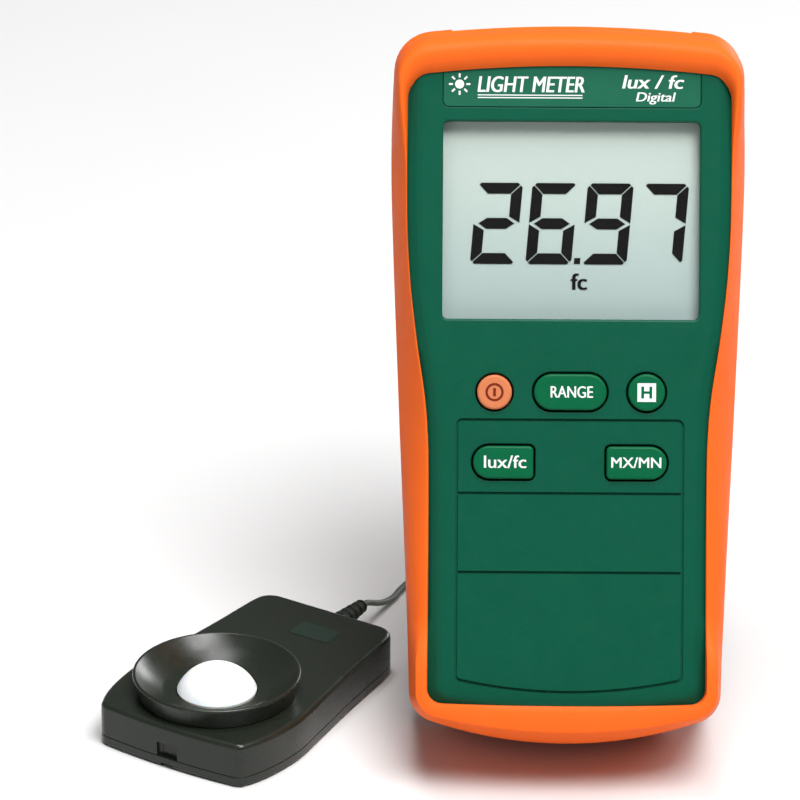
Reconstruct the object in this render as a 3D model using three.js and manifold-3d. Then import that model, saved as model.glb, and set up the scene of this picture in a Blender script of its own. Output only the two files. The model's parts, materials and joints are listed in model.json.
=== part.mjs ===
// A hand-held light meter in a rubber holster, with a remote sensor head on a thin cable.
// Millimetres, +Z up. The instrument leans back on its tilt stand and faces -Y. The sensor head
// lies in front of it on the left, and the cable runs behind the instrument to a small coil and
// up to the gland at the top of the back.
//
// The instrument is drawn lying on its back: x across, y up its face, z out of the face, with
// z = 0 on the flat of the green face. The sensor head is drawn with x from its rear edge to its
// front edge, y across and z up from the table.

import * as THREE from 'three';
import { mergeVertices } from 'three/addons/utils/BufferGeometryUtils.js';
import Module from 'manifold-3d';

const wasm = await Module();
wasm.setup();

// ---------------------------------------------------------------- driving dimensions
const GAP = 0.3; // between pieces that rest on each other
const DEG = Math.PI / 180;
const LEAN = 25 * DEG; // the instrument leans back from upright by this much
const FACE_HEIGHT = 81; // from the table to the middle of the face
const INSTRUMENT_X = 31.3; // the middle of the instrument, so that the footprint is centred on 0, 0
const INSTRUMENT_Y = -15.65;

const CASE_BACK = -31; // the back of the case
const PARTING = -13.5; // where the two shells meet
const WALL = 1.8; // shell thickness
const HOLSTER_WALL = 2.8;
const HOLSTER_BACK = -35;
const SHOULDER = -9; // where the holster's rounded front edge starts
const SLOT_HALF = 24.5; // half the width of the holster's open back

const WINDOW = { width: 53.9, height: 41.4, y: 34.4 };
const KEYS = [
  { name: 'power_key', x: -15.9, y: -1.7, width: 7.3, height: 7.3, material: 'powerKey' },
  { name: 'range_key', x: 0, y: -1.6, width: 15.3, height: 7.6, material: 'greenKey' },
  { name: 'hold_key', x: 16.0, y: -1.6, width: 7.8, height: 7.8, material: 'greenKey' },
  { name: 'unit_key', x: -14.0, y: -16.4, width: 12.7, height: 6.9, square: 'right', material: 'greenKey' },
  { name: 'max_min_key', x: 14.0, y: -16.4, width: 12.7, height: 6.9, square: 'left', material: 'greenKey' },
];
const KEY_TOP = 0.9; // a key stands this far above the face
const KEY_FOOT = -5.9;
const BOARD_FRONT = -8.5;
const BOARD_THICK = 1.6;

const BAY = { halfWidth: 22.4, y0: 5.6, y1: 54.7, front: -16.9, wall: 1.5 };
const CELL = { radius: 5.1, length: 44.5, pitch: 11, z: -22.6 };
const COVER = { halfWidth: 23.3, y0: 3.4, y1: 61.6, thick: 1.7, screwY: 58.9 };
const HINGE = { y: -5, z: -33.2, pin: 1, barrel: 1.9 };
const STAND = { halfWidth: 17, length: 63, thick: 2.4, foot: 1.6 };
const SCREW_AT = [[-27, 61.5], [27, 61.5], [-24, -62.5], [24, -62.5]];
const BOARD_SCREW_AT = [[-22, -51], [22, -51]];
const TRIPOD = { y: -40, bore: 3.2, rim: 7 };
const GLAND = { y: 66, radius: 2.8, length: 8 };

const SENSOR = { heading: 32.1 * DEG, x: -50.8, y: 33.7, length: 62.9, height: 9.9, split: 2.2 };
const CUP = { at: 45, floor: 10.3, rim: 14.75, rimRadius: 18.15, foot: 16.9, throat: 11.3 };
const DOME = { radius: 8.6, rise: 5.5, base: 10.6 };
const RELIEF = { z: 5.3, length: 13, root: 2.45, tip: 1.6 };

const CORD = 1.4; // cable diameter
const COIL = { x: 8.4, y: 80, inner: 5.6, outer: 11.2, height: 5.6 };
// The middle of the cable from the sensor head to its coil, with the instrument's middle at 0, 0.
const RUN_ROUTE = [
  [-43.7, 45.0, 5.3], [-42.9, 46.3, 5.1], [-41.8, 48.3, 4.1], [-40.3, 51.1, 2.6], [-38.7, 54.2, 1.4],
  [-36.9, 57.6, 0.75], [-35.3, 61.7, 0.7], [-32.8, 66.0, 0.7], [-28.2, 69.2, 0.7], [-22.4, 70.7, 0.7],
  [-16.0, 70.8, 0.7], [-10.0, 70.2, 0.7], [-4.0, 69.6, 0.7], [2.2, 69.4, 0.7],
];
// The middle of the cable from the top of the coil to the gland on the back of the instrument.
const DROP_ROUTE = [
  [-2.1, 74.0, 4.9], [-2.1, 72.1, 5.5], [-2.1, 70.4, 7.0], [-2.0, 69.4, 9.4], [-1.9, 69.2, 13.0],
  [-1.6, 69.9, 25.0], [-1.2, 71.0, 45.0], [-0.8, 71.6, 65.0], [-0.5, 71.8, 85.0], [-0.2, 71.6, 101.0],
  [-0.1, 71.0, 111.0], [-0.1, 69.9, 117.3], [0, 68.0, 121.2], [0, 66.0, 123.0], [0, 64.1, 123.95],
];

// ---------------------------------------------------------------- materials
const look = (color, roughness, metalness = 0, extra = {}) =>
  new THREE.MeshStandardMaterial({ color, roughness, metalness, ...extra });
const MATERIALS = {
  holster: look(0xee5a22, 0.55),
  caseGreen: look(0x17624b, 0.5),
  nameplate: look(0x29705a, 0.45),
  window: look(0xcfded6, 0.1, 0, { transparent: true, opacity: 0.4 }),
  display: look(0xc0d2c8, 0.3),
  zebra: look(0x6a6a6a, 0.8),
  carrier: look(0xd8d8d2, 0.6),
  board: look(0x1f6b3a, 0.5),
  chip: look(0x1b1b1d, 0.4),
  silicone: look(0xbfc3c2, 0.7),
  greenKey: look(0x0f7f52, 0.45),
  powerKey: look(0xf59a5f, 0.5),
  cell: look(0xb9bcc0, 0.35, 0.6),
  spring: look(0xc7c9cc, 0.3, 1),
  steel: look(0x9a9ca0, 0.35, 1),
  brass: look(0xc8a24a, 0.35, 1),
  sensorBlack: look(0x2c322c, 0.45),
  sensorLabel: look(0x30423f, 0.6),
  dome: look(0xf8fbfb, 0.4),
  filter: look(0x6f9a86, 0.15),
  cable: look(0x5e625d, 0.6),
};

// ---------------------------------------------------------------- solids
// A closed geometry as a manifold solid.
function solid(geometry) {
  const bare = (geometry.index ? geometry.toNonIndexed() : geometry).clone();
  bare.deleteAttribute('normal');
  bare.deleteAttribute('uv');
  const merged = mergeVertices(bare, 1e-4);
  return new wasm.Manifold(new wasm.Mesh({
    numProp: 3,
    vertProperties: new Float32Array(merged.attributes.position.array),
    triVerts: new Uint32Array(merged.index.array),
  }));
}

function geometryOf(manifold) {
  const mesh = manifold.getMesh();
  const geometry = new THREE.BufferGeometry();
  geometry.setAttribute('position', new THREE.BufferAttribute(mesh.vertProperties, 3));
  geometry.setIndex(new THREE.BufferAttribute(mesh.triVerts, 1));
  return geometry;
}

const cut = (body, ...tools) => geometryOf(tools.reduce((s, t) => s.subtract(solid(t)), solid(body)));
const join = (body, ...others) => geometryOf(others.reduce((s, o) => s.add(solid(o)), solid(body)));

function block(x0, x1, y0, y1, z0, z1) {
  const box = new THREE.BoxGeometry(x1 - x0, y1 - y0, z1 - z0);
  return box.translate((x0 + x1) / 2, (y0 + y1) / 2, (z0 + z1) / 2);
}

// A round bar along z.
function rod(radius, x, y, z0, z1, sides = 16) {
  const bar = new THREE.CylinderGeometry(radius, radius, z1 - z0, sides);
  return bar.rotateX(Math.PI / 2).translate(x, y, (z0 + z1) / 2);
}

// A round bar along x.
function crossRod(radius, x0, x1, y, z, sides = 16) {
  const bar = new THREE.CylinderGeometry(radius, radius, x1 - x0, sides);
  return bar.rotateZ(Math.PI / 2).translate((x0 + x1) / 2, y, z);
}

// A flat shape raised from z0 to z1.
function slab(shape, z0, z1, curveSegments = 3) {
  const depth = z1 - z0;
  return new THREE.ExtrudeGeometry(shape, { depth, bevelEnabled: false, curveSegments }).translate(0, 0, z0);
}

// A turned piece on the z axis from (radius, z) pairs that start and end on the axis, or close.
function turned(profile, segments = 24) {
  const points = profile.map(([r, z]) => new THREE.Vector2(r, z));
  return new THREE.LatheGeometry(points, segments).rotateX(Math.PI / 2);
}

// A skin over closed rings with equal numbers of points, from the lowest ring up, closed by fans.
function loft(rings) {
  const count = rings[0].length;
  const middle = (ring) => ring.reduce((sum, p) => sum.add(p), new THREE.Vector3()).divideScalar(count);
  const points = [...rings.flat(), middle(rings[0]), middle(rings.at(-1))];
  const index = [];
  for (let i = 0; i < count; i += 1) {
    const next = (i + 1) % count;
    for (let r = 0; r + 1 < rings.length; r += 1) {
      const [a, b] = [r * count + i, r * count + next];
      index.push(a, b, b + count, a, b + count, a + count);
    }
    const top = (rings.length - 1) * count;
    index.push(points.length - 2, next, i, points.length - 1, top + i, top + next);
  }
  return new THREE.BufferGeometry().setFromPoints(points).setIndex(index);
}

function roundedRectangle(width, height, radius, x = 0, y = 0) {
  const [w, h] = [width / 2 - radius, height / 2 - radius];
  const shape = new THREE.Shape();
  shape.absarc(x + w, y + h, radius, 0, Math.PI / 2);
  shape.absarc(x - w, y + h, radius, Math.PI / 2, Math.PI);
  shape.absarc(x - w, y - h, radius, Math.PI, Math.PI * 1.5);
  shape.absarc(x + w, y - h, radius, Math.PI * 1.5, Math.PI * 2);
  return shape;
}

// ---------------------------------------------------------------- the instrument's outlines
// A smooth curve y -> x through a few [y, x] points in rising y.
function curveThrough(points) {
  const slope = (i) => {
    const [a, b] = [points[Math.max(i - 1, 0)], points[Math.min(i + 1, points.length - 1)]];
    return (b[1] - a[1]) / (b[0] - a[0]);
  };
  return (y) => {
    const last = points.length - 2;
    const i = Math.min(Math.max(points.findIndex((p) => p[0] > y) - 1, 0), last);
    const k = y >= points[last + 1][0] ? last : i;
    const [[y0, x0], [y1, x1]] = [points[k], points[k + 1]];
    const [t, span] = [Math.min(Math.max((y - y0) / (y1 - y0), 0), 1), y1 - y0];
    const [t2, t3] = [t * t, t * t * t];
    return (2 * t3 - 3 * t2 + 1) * x0 + (t3 - 2 * t2 + t) * span * slope(k)
      + (3 * t2 - 2 * t3) * x1 + (t3 - t2) * span * slope(k + 1);
  };
}

const BODY_X = -0.45; // the middle of the body, left of the middle of the window and the keys
const holsterSide = curveThrough([
  [-75, 32.8], [-55, 33.3], [-3, 35.6], [40, 37.3], [56, 37.3], [75, 36.5],
]);
const faceSide = curveThrough([
  [-70, 29.2], [-16, 29.2], [-4, 29.9], [9, 31.8], [22, 33.3], [36, 34.0], [70, 33.9],
]);

const HOLSTER_PLAN = {
  side: holsterSide, top: 75, topArc: 280, topCorner: 8.5, bottom: 76, bottomArc: 89, bottomCorner: 6.5,
};
const FACE_PLAN = {
  side: faceSide, top: 66.4, topArc: 267, topCorner: 5, bottom: 67.5, bottomArc: 800, bottomCorner: 3.2,
};

// The outer edge of the face's bevel, which runs on under the holster's lip at both ends.
const BEVEL_PLAN = {
  ...FACE_PLAN, top: 70.4, topArc: 275, topCorner: 6, bottom: 70.4, bottomArc: 150, bottomCorner: 5,
};
const BEVEL = { width: 2.4, drop: 1.3 };

// The plan grown outwards all round, or shrunk by a negative amount.
function grown(plan, by, more = {}) {
  return {
    side: (y) => plan.side(y) + by,
    top: plan.top + by,
    topArc: plan.topArc + by,
    topCorner: Math.max(plan.topCorner + by, 1),
    bottom: plan.bottom + by,
    bottomArc: plan.bottomArc + by,
    bottomCorner: Math.max(plan.bottomCorner + by, 1),
    ...more,
  };
}

// One end of an outline, from the side to the middle: a rounded corner, then half of a shallow arc.
function outlineEnd(side, top, arc, corner, steps) {
  const arcCentre = top - arc;
  let [x, y] = [0, top - corner];
  for (let pass = 0; pass < 6; pass += 1) {
    x = side(y) - corner;
    y = arcCentre + Math.sqrt((arc - corner) ** 2 - x * x);
  }
  const from = Math.atan(-(side(y + 1) - side(y - 1)) / 2);
  const to = Math.PI / 2 - Math.atan2(x, y - arcCentre);
  const points = [];
  for (let i = 0; i <= steps.corner; i += 1) {
    const angle = from + ((to - from) * i) / steps.corner;
    points.push([x + corner * Math.cos(angle), y + corner * Math.sin(angle)]);
  }
  for (let i = 1; i <= steps.arc; i += 1) {
    const angle = (Math.PI / 2 - to) * (1 - i / steps.arc);
    points.push([arc * Math.sin(angle), arcCentre + arc * Math.cos(angle)]);
  }
  return points;
}

const STEPS = { corner: 3, arc: 2, side: 7 };

// A plan's outline as [x, y] points, anticlockwise from the middle of the bottom.
function outline(plan, steps = STEPS) {
  const upper = outlineEnd(plan.side, plan.top, plan.topArc, plan.topCorner, steps);
  const lower = outlineEnd((y) => plan.side(-y), plan.bottom, plan.bottomArc, plan.bottomCorner, steps)
    .map(([x, y]) => [x, -y])
    .reverse();
  const [y0, y1] = [lower.at(-1)[1], upper[0][1]];
  const flank = [];
  for (let i = 1; i < steps.side; i += 1) {
    const y = y0 + ((y1 - y0) * i) / steps.side;
    flank.push([plan.side(y), y]);
  }
  const right = [...lower, ...flank, ...upper];
  const left = right.slice(1, -1).reverse().map(([x, y]) => [-x, y]);
  return [...right, ...left].map(([x, y]) => [x + BODY_X, y]);
}

const ring = (plan, z) => outline(plan).map(([x, y]) => new THREE.Vector3(x, y, z));

// How much of the top lip, and of the bottom cup, the holster has at a height up the face.
const topShare = (y) => THREE.MathUtils.smoothstep(y, 42, 58);
const bottomShare = (y) => THREE.MathUtils.smoothstep(-y, 50, 60);
const lowShare = (y) => THREE.MathUtils.smoothstep(-y, 5, 45);
const shared = (y, top, side, low, bottom) => {
  const [t, l, b] = [topShare(y), lowShare(y), bottomShare(y)];
  return top * t + bottom * b + (side * (1 - l) + low * l) * (1 - t - b);
};

// ---------------------------------------------------------------- holster
const CASE_PLAN = grown(HOLSTER_PLAN, -HOLSTER_WALL);

// The case's outside, from its back edge to the flat of the face; grow is the clearance round it.
function caseRings(grow, fromBack = true) {
  const side = grown(CASE_PLAN, grow);
  const back = [
    ring(grown(CASE_PLAN, grow - 2.2), CASE_BACK - grow),
    ring(grown(CASE_PLAN, grow - 0.6), CASE_BACK + 0.7 - grow),
    ring(side, CASE_BACK + 2.5),
  ];
  return [
    ...(fromBack ? back : [ring(side, PARTING)]),
    ring(side, -4.5),
    ring(grown(BEVEL_PLAN, grow), grow - BEVEL.drop),
    ring(grown(BEVEL_PLAN, grow - BEVEL.width), grow),
  ];
}

// The holster's front edge in section: [share of the way in from outside to inner edge, height],
// for the lip over the top, the steep sides, the flatter sides further down and the cup at the bottom.
const LIP = {
  top: [[0.05, -3.5], [0.2, 0.4], [0.42, 2.4], [0.72, 2.2], [1, 0.7]],
  side: [[0.1, -7.7], [0.32, -5.3], [0.6, -2.8], [0.85, -1.1], [1, -0.5]],
  low: [[0.06, -5.4], [0.2, -3.4], [0.45, -1.7], [0.75, -0.6], [1, -0.4]],
  bottom: [[0.08, -5], [0.22, -1.3], [0.36, 2.1], [0.46, 2.6], [1, 2.5]],
};

function makeHolster() {
  const ear = { top: HOLSTER_PLAN.top + 1.3 }; // the rear part of the top stands a little higher
  const outer = outline(HOLSTER_PLAN);
  const inner = outline(FACE_PLAN);
  const lip = LIP.top.map((_, row) => outer.map(([x, y], i) => {
    const part = (name, k) => LIP[name][row][k];
    const blend = (k) => shared(y, part('top', k), part('side', k), part('low', k), part('bottom', k));
    const [inward, z] = [blend(0), blend(1)];
    const [ix, iy] = inner[i];
    return new THREE.Vector3(x + (ix - x) * inward, y + (iy - y) * inward, z);
  }));
  const outside = loft([
    ring(grown(HOLSTER_PLAN, -1.8, { top: HOLSTER_PLAN.top - 0.5 }), HOLSTER_BACK),
    ring(grown(HOLSTER_PLAN, -0.5, { top: HOLSTER_PLAN.top + 0.8 }), HOLSTER_BACK + 0.8),
    ring(grown(HOLSTER_PLAN, 0, ear), HOLSTER_BACK + 3),
    ring(grown(HOLSTER_PLAN, 0, ear), SHOULDER - 2),
    ring(HOLSTER_PLAN, SHOULDER),
    ...lip,
  ]);
  const mouth = loft([ring(FACE_PLAN, -6), ring(FACE_PLAN, 6)]);
  const slot = block(-SLOT_HALF, SLOT_HALF, -66, 90, -40, CASE_BACK + 1);
  const footNotch = block(-STAND.halfWidth - 2, STAND.halfWidth + 2, -70.8, -60, -40, CASE_BACK + 1);
  const topOpening = block(-SLOT_HALF, SLOT_HALF + 1, 60, 90, -40, SHOULDER - 1.5);
  const table = block(-60, 60, -60, 60, -60, 0)
    .translate(0, 0, -FACE_HEIGHT)
    .rotateX(-(Math.PI / 2 - LEAN));
  return cut(outside, loft(caseRings(GAP)), mouth, slot, footNotch, topOpening, table);
}

// ---------------------------------------------------------------- shells
function keyShape(key, grow) {
  const [w, h] = [key.width / 2 + grow, key.height / 2 + grow];
  const tight = Math.min(h, 1 + grow);
  const radii = { right: key.square === 'right' ? tight : h, left: key.square === 'left' ? tight : h };
  const shape = new THREE.Shape();
  shape.absarc(key.x + w - radii.right, key.y + h - radii.right, radii.right, 0, Math.PI / 2);
  shape.absarc(key.x - w + radii.left, key.y + h - radii.left, radii.left, Math.PI / 2, Math.PI);
  shape.absarc(key.x - w + radii.left, key.y - h + radii.left, radii.left, Math.PI, Math.PI * 1.5);
  shape.absarc(key.x + w - radii.right, key.y - h + radii.right, radii.right, Math.PI * 1.5, Math.PI * 2);
  return shape;
}

const PANEL = { halfWidth: 23.7, top: -7.5, shoulder: -62, middle: -64.6, lines: [-22.9, -39.5] };
const GROOVE = { width: 0.6, depth: 0.5 };

// The grooves of the lower panel, as one tool: a bowed frame and two lines across it.
function panelGrooves() {
  const frame = (grow) => {
    const shape = new THREE.Shape();
    shape.moveTo(-PANEL.halfWidth - grow, PANEL.top + grow);
    shape.lineTo(-PANEL.halfWidth - grow, PANEL.shoulder - grow);
    const lowest = 2 * PANEL.middle - PANEL.shoulder - grow;
    shape.quadraticCurveTo(0, lowest, PANEL.halfWidth + grow, PANEL.shoulder - grow);
    shape.lineTo(PANEL.halfWidth + grow, PANEL.top + grow);
    return shape;
  };
  const half = GROOVE.width / 2;
  const around = cut(slab(frame(half), -GROOVE.depth, 1, 8), slab(frame(-half), -1, 2, 8));
  const lines = PANEL.lines.map((y) => block(
    -PANEL.halfWidth, PANEL.halfWidth, y - half, y + half, -GROOVE.depth, 1,
  ));
  return join(around, ...lines);
}

const NAMEPLATE = { width: 54, y0: 58.2, y1: 67.2, depth: 0.7 };
function nameplateShape(grow) {
  const { width, y0, y1 } = NAMEPLATE;
  return roundedRectangle(width + 2 * grow, y1 - y0 + 2 * grow, 1 + grow, 0, (y0 + y1) / 2);
}

// The screw posts inside the front shell: [x, y, radius, pilot radius, bottom].
const POSTS = [
  ...SCREW_AT.map(([x, y]) => [x, y, 2.9, 1.5, PARTING + GAP]),
  ...BOARD_SCREW_AT.map(([x, y]) => [x, y, 2.2, 1.2, BOARD_FRONT + GAP]),
];

function makeFrontShell() {
  const outside = loft(caseRings(0, false));
  const hollow = loft([
    ring(grown(CASE_PLAN, -WALL), PARTING - 1),
    ring(grown(CASE_PLAN, -WALL), -5.6),
    ring(grown(FACE_PLAN, -2.6), -WALL),
  ]);
  const posts = POSTS.map(([x, y, radius, , bottom]) => rod(radius, x, y, bottom, -WALL + 0.2, 12));
  const pilots = POSTS.map(([x, y, , pilot, bottom]) => rod(pilot, x, y, bottom - 1, -2.4, 10));
  const openings = KEYS.map((key) => slab(keyShape(key, 0.4), -6, 2));
  const window = slab(roundedRectangle(WINDOW.width, WINDOW.height, 1, 0, WINDOW.y), -6, 2);
  const plate = slab(nameplateShape(GAP), -NAMEPLATE.depth - GAP, 2);
  return cut(join(cut(outside, hollow), ...posts), ...pilots, ...openings, window, plate, panelGrooves());
}

// A block the size of the battery cover, grown by a margin all round.
const coverBlock = (grow, z0, z1) => block(
  -COVER.halfWidth - grow, COVER.halfWidth + grow, COVER.y0 - grow, COVER.y1 + grow, z0, z1,
);

function makeRearShell() {
  const outside = loft([
    ring(grown(CASE_PLAN, -2.2), CASE_BACK),
    ring(grown(CASE_PLAN, -0.6), CASE_BACK + 0.7),
    ring(CASE_PLAN, CASE_BACK + 2.5),
    ring(CASE_PLAN, PARTING - GAP),
  ]);
  const hollow = loft([
    ring(grown(CASE_PLAN, -3.4), CASE_BACK + WALL + 0.2),
    ring(grown(CASE_PLAN, -WALL), CASE_BACK + 3.4),
    ring(grown(CASE_PLAN, -WALL), PARTING + 1),
  ]);
  const { halfWidth, y0, y1, front, wall } = BAY;
  const bay = block(
    -halfWidth - wall, halfWidth + wall, y0 - wall, y1 + wall, CASE_BACK + 0.5, front + wall,
  );
  const coverLedge = coverBlock(1.4, CASE_BACK + 0.5, -27.2);
  const bosses = SCREW_AT.map(([x, y]) => rod(3.6, x, y, CASE_BACK + 0.8, PARTING - GAP, 12));
  const tripodBoss = rod(TRIPOD.rim + 2, 0, TRIPOD.y, CASE_BACK + 0.5, -24, 16);
  const ears = [-1, 1].map((side) => {
    const x = side * (STAND.halfWidth + 3.3);
    const ear = join(
      block(x - 1.5, x + 1.5, HINGE.y - 2.8, HINGE.y + 2.8, HINGE.z, CASE_BACK + 0.5),
      crossRod(2, x - 1.5, x + 1.5, HINGE.y, HINGE.z + 0.1),
    );
    return cut(ear, crossRod(HINGE.pin + GAP, x - 3, x + 3, HINGE.y, HINGE.z, 12));
  });
  const screwHoles = SCREW_AT.flatMap(([x, y]) => [
    rod(1.6, x, y, -40, 0, 12),
    rod(2.8, x, y, -40, -26, 12),
  ]);
  const bayVoid = block(-halfWidth, halfWidth, y0, y1, -40, front);
  const coverSeat = coverBlock(GAP, -40, CASE_BACK + COVER.thick + GAP);
  const coverScrewHole = rod(1.3, 0, COVER.screwY, -40, CASE_BACK + 7, 12);
  const coverPost = rod(2.6, 0, COVER.screwY, CASE_BACK + 1, CASE_BACK + 8, 12);
  const tripodSeat = rod(TRIPOD.rim + GAP, 0, TRIPOD.y, -40, -29.4, 20);
  const tripodHole = rod(5.2 + GAP, 0, TRIPOD.y, -40, -25, 16);
  const glandHole = rod(1.5, 0, GLAND.y, -40, -20, 12);
  return cut(
    join(cut(outside, hollow), bay, coverLedge, ...bosses, tripodBoss, coverPost, ...ears),
    bayVoid, coverSeat, coverScrewHole, tripodSeat, tripodHole, glandHole, ...screwHoles,
  );
}

// ---------------------------------------------------------------- face pieces
const LENS = { width: 57, height: 44.5, z0: -3.3, z1: -2.1 };
const GLASS = { width: 55.6, height: 43, z0: -5.8, z1: -3.6 };

const pane = ({ width, height, z0, z1 }, corner) =>
  slab(roundedRectangle(width, height, corner, 0, WINDOW.y), z0, z1);
const makeLens = () => pane(LENS, 1.5);
const makeGlass = () => pane(GLASS, 0.6);

function makeLcdFrame() {
  const around = slab(roundedRectangle(59.6, 47, 1.5, 0, WINDOW.y), BOARD_FRONT + GAP, GLASS.z1 - 0.1);
  const [w, h] = [GLASS.width / 2 + GAP, GLASS.height / 2 + GAP];
  const opening = block(-w, w, WINDOW.y - h, WINDOW.y + h, -9, 0);
  const ledge = cut(
    block(-29, 29, WINDOW.y - 22.6, WINDOW.y + 22.6, GLASS.z0 - 1, GLASS.z0 - GAP),
    block(-26, 26, WINDOW.y - 21, WINDOW.y + 21, -9, 0),
  );
  return join(cut(around, opening), ledge);
}

function makeZebra(y) {
  return block(-25.6, 25.6, y - 0.9, y + 0.9, BOARD_FRONT + GAP, GLASS.z0 - GAP);
}

function makeKey(key) {
  const stem = slab(keyShape(key, 0), KEY_FOOT, KEY_TOP);
  const flange = slab(keyShape(key, 1.1), KEY_FOOT, KEY_FOOT + 1);
  return join(stem, flange);
}

function makeKeypad() {
  const sheet = slab(roundedRectangle(50, 29, 2, 0, -9.2), BOARD_FRONT + GAP, BOARD_FRONT + 0.9);
  const domes = KEYS.map((key) => rod(2.4, key.x, key.y, BOARD_FRONT + 0.8, BOARD_FRONT + 1.6, 12));
  return join(sheet, ...domes);
}

// ---------------------------------------------------------------- electronics
function makeMainBoard() {
  const board = slab(roundedRectangle(53, 115, 2, 0, -0.2), BOARD_FRONT - BOARD_THICK, BOARD_FRONT);
  return cut(board, ...BOARD_SCREW_AT.map(([x, y]) => rod(1.3, x, y, -12, -7, 10)));
}

const boardBack = BOARD_FRONT - BOARD_THICK - GAP;
const makeProcessor = () => block(-7, 7, -26, -12, boardBack - 1.6, boardBack);
const makeAmplifier = () => block(10, 15, 46, 50, boardBack - 1.4, boardBack);
const makeCrystal = () => block(-18, -7.5, -21, -17, boardBack - 2.6, boardBack);
const makeHeader = () => cut(
  block(-5, 5, 49, 54, boardBack - 4.2, boardBack),
  block(-4, 4, 49.8, 53.2, -20, boardBack - 1.2),
);

// A pan-head screw up z with its slotted head at z0.
function screw(x, y, z0, head, shank, length) {
  const profile = [
    [0, 0], [head * 0.8, 0], [head, 0.5], [head, 1.5],
    [shank, 1.5], [shank, length - 1], [0.3, length], [0, length],
  ];
  const slot = block(-0.3, 0.3, -head * 0.7, head * 0.7, -0.5, 0.7);
  return cut(turned(profile, 8), slot).translate(x, y, z0);
}

// ---------------------------------------------------------------- battery
const cellX = (i) => (i - 1.5) * CELL.pitch;
const cellUp = (i) => i % 2 === 0; // the positive end points up the case on every other cell
const SPRING_END = 3.3;
const FLAT_END = BAY.y1 - BAY.y0 - CELL.length - SPRING_END;

function makeCell(i) {
  const { radius, length } = CELL;
  const profile = [
    [0, 0], [radius - 0.4, 0], [radius, 0.4], [radius, length - 1.6],
    [radius - 0.6, length - 1], [1.9, length - 1], [1.9, length], [0, length],
  ];
  const cell = turned(profile, 12).rotateX(-Math.PI / 2); // its axis now runs up y
  if (!cellUp(i)) cell.rotateX(Math.PI).translate(0, length, 0);
  return cell.translate(cellX(i), BAY.y0 + (cellUp(i) ? SPRING_END : FLAT_END), CELL.z);
}

// A contact plate with a conical wire spring on it, standing at the negative end of a cell.
class Helix extends THREE.Curve {
  getPoint(t, target = new THREE.Vector3()) {
    const angle = t * 2.6 * 2 * Math.PI;
    const radius = 3.3 - 1.5 * t;
    return target.set(radius * Math.cos(angle), 0.35 + 1.95 * t, radius * Math.sin(angle));
  }
}

function contactPlace(geometry, i, atBottom) {
  if (!atBottom) geometry.rotateZ(Math.PI);
  return geometry.translate(cellX(i), atBottom ? BAY.y0 + GAP : BAY.y1 - GAP, CELL.z);
}

function makeSpring(i) {
  const wire = new THREE.Shape().absarc(0, 0, 0.25, 0, Math.PI * 2);
  const coil = new THREE.ExtrudeGeometry(wire, { extrudePath: new Helix(), steps: 20, curveSegments: 2 });
  return contactPlace(join(block(-4.2, 4.2, 0, 0.4, -4.2, 4.2), coil), i, cellUp(i));
}

function makeContact(i) {
  return contactPlace(block(-4.2, 4.2, 0, 0.4, -4.2, 4.2), i, !cellUp(i));
}

function makeBatteryCover() {
  const height = COVER.y1 - COVER.y0;
  const shape = roundedRectangle(COVER.halfWidth * 2, height, 1.5, 0, COVER.y0 + height / 2);
  const plate = slab(shape, CASE_BACK, CASE_BACK + COVER.thick);
  const grips = [10, 12.6, 15.2].map((y) => block(-8, 8, y, y + 1, CASE_BACK - 1, CASE_BACK + 0.5));
  const screwHole = rod(1.3, 0, COVER.screwY, -40, 0, 12);
  const screwSeat = rod(2.5, 0, COVER.screwY, -40, CASE_BACK + 0.7, 12);
  return cut(plate, ...grips, screwHole, screwSeat);
}

// ---------------------------------------------------------------- back fittings
function makeStand() {
  const { halfWidth, length, thick, foot } = STAND;
  const shape = roundedRectangle(halfWidth * 2, length, 3, 0, -length / 2);
  const plate = slab(shape, -thick / 2, thick / 2);
  const edge = cut(plate, block(-30, 30, -length - 5, -length, -5, 5));
  const barrel = crossRod(HINGE.barrel, -halfWidth, halfWidth, 0, 0, 14);
  const bead = crossRod(foot, -halfWidth + 1, halfWidth - 1, -length, 0, 12);
  const hollows = [-1, 1].map((side) => block(
    side * 8 - 6.6, side * 8 + 6.6, -length + 9, -8, thick / 2 - 0.9, 5,
  ));
  return cut(join(edge, barrel, bead), crossRod(HINGE.pin + GAP, -30, 30, 0, 0, 12), ...hollows);
}

function makeStandPin() {
  const reach = STAND.halfWidth + 4.6;
  return crossRod(HINGE.pin, -reach, reach, HINGE.y, HINGE.z, 10);
}

function makeTripodInsert() {
  const { bore, rim, y } = TRIPOD;
  const profile = [[bore, 0], [rim, 0], [rim, 1.3], [5.2, 1.3], [5.2, 5.5], [bore, 5.5], [bore, 0]];
  return turned(profile, 20).translate(0, y, CASE_BACK);
}

// A ribbed, tapering sleeve along +z with a cable hole's worth of solid core, starting at z = 0.
function ribbedSleeve(root, tip, length, ribs, segments = 10) {
  const profile = [[0, 0], [root, 0]];
  for (let i = 0; i < ribs; i += 1) {
    const radius = root + ((tip - root) * (i + 0.5)) / ribs;
    const start = 1 + ((length - 1.6) * i) / ribs;
    const pitch = (length - 1.6) / ribs;
    profile.push([radius, start], [radius, start + pitch * 0.6]);
    profile.push([radius - 0.45, start + pitch * 0.65], [radius - 0.45, start + pitch]);
  }
  profile.push([tip, length - 0.5], [tip - 0.3, length], [0, length]);
  return turned(profile, segments);
}

function makeLeadGland() {
  const collar = rod(GLAND.radius, 0, 0, 0, 1, 16);
  const stub = rod(1.1, 0, 0, -5, 0.5, 12);
  const sleeve = ribbedSleeve(2, 1.2, GLAND.length, 4).translate(0, 0, 0.3);
  return join(collar, stub, sleeve).rotateX(Math.PI).translate(0, GLAND.y, CASE_BACK - GAP);
}

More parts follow.
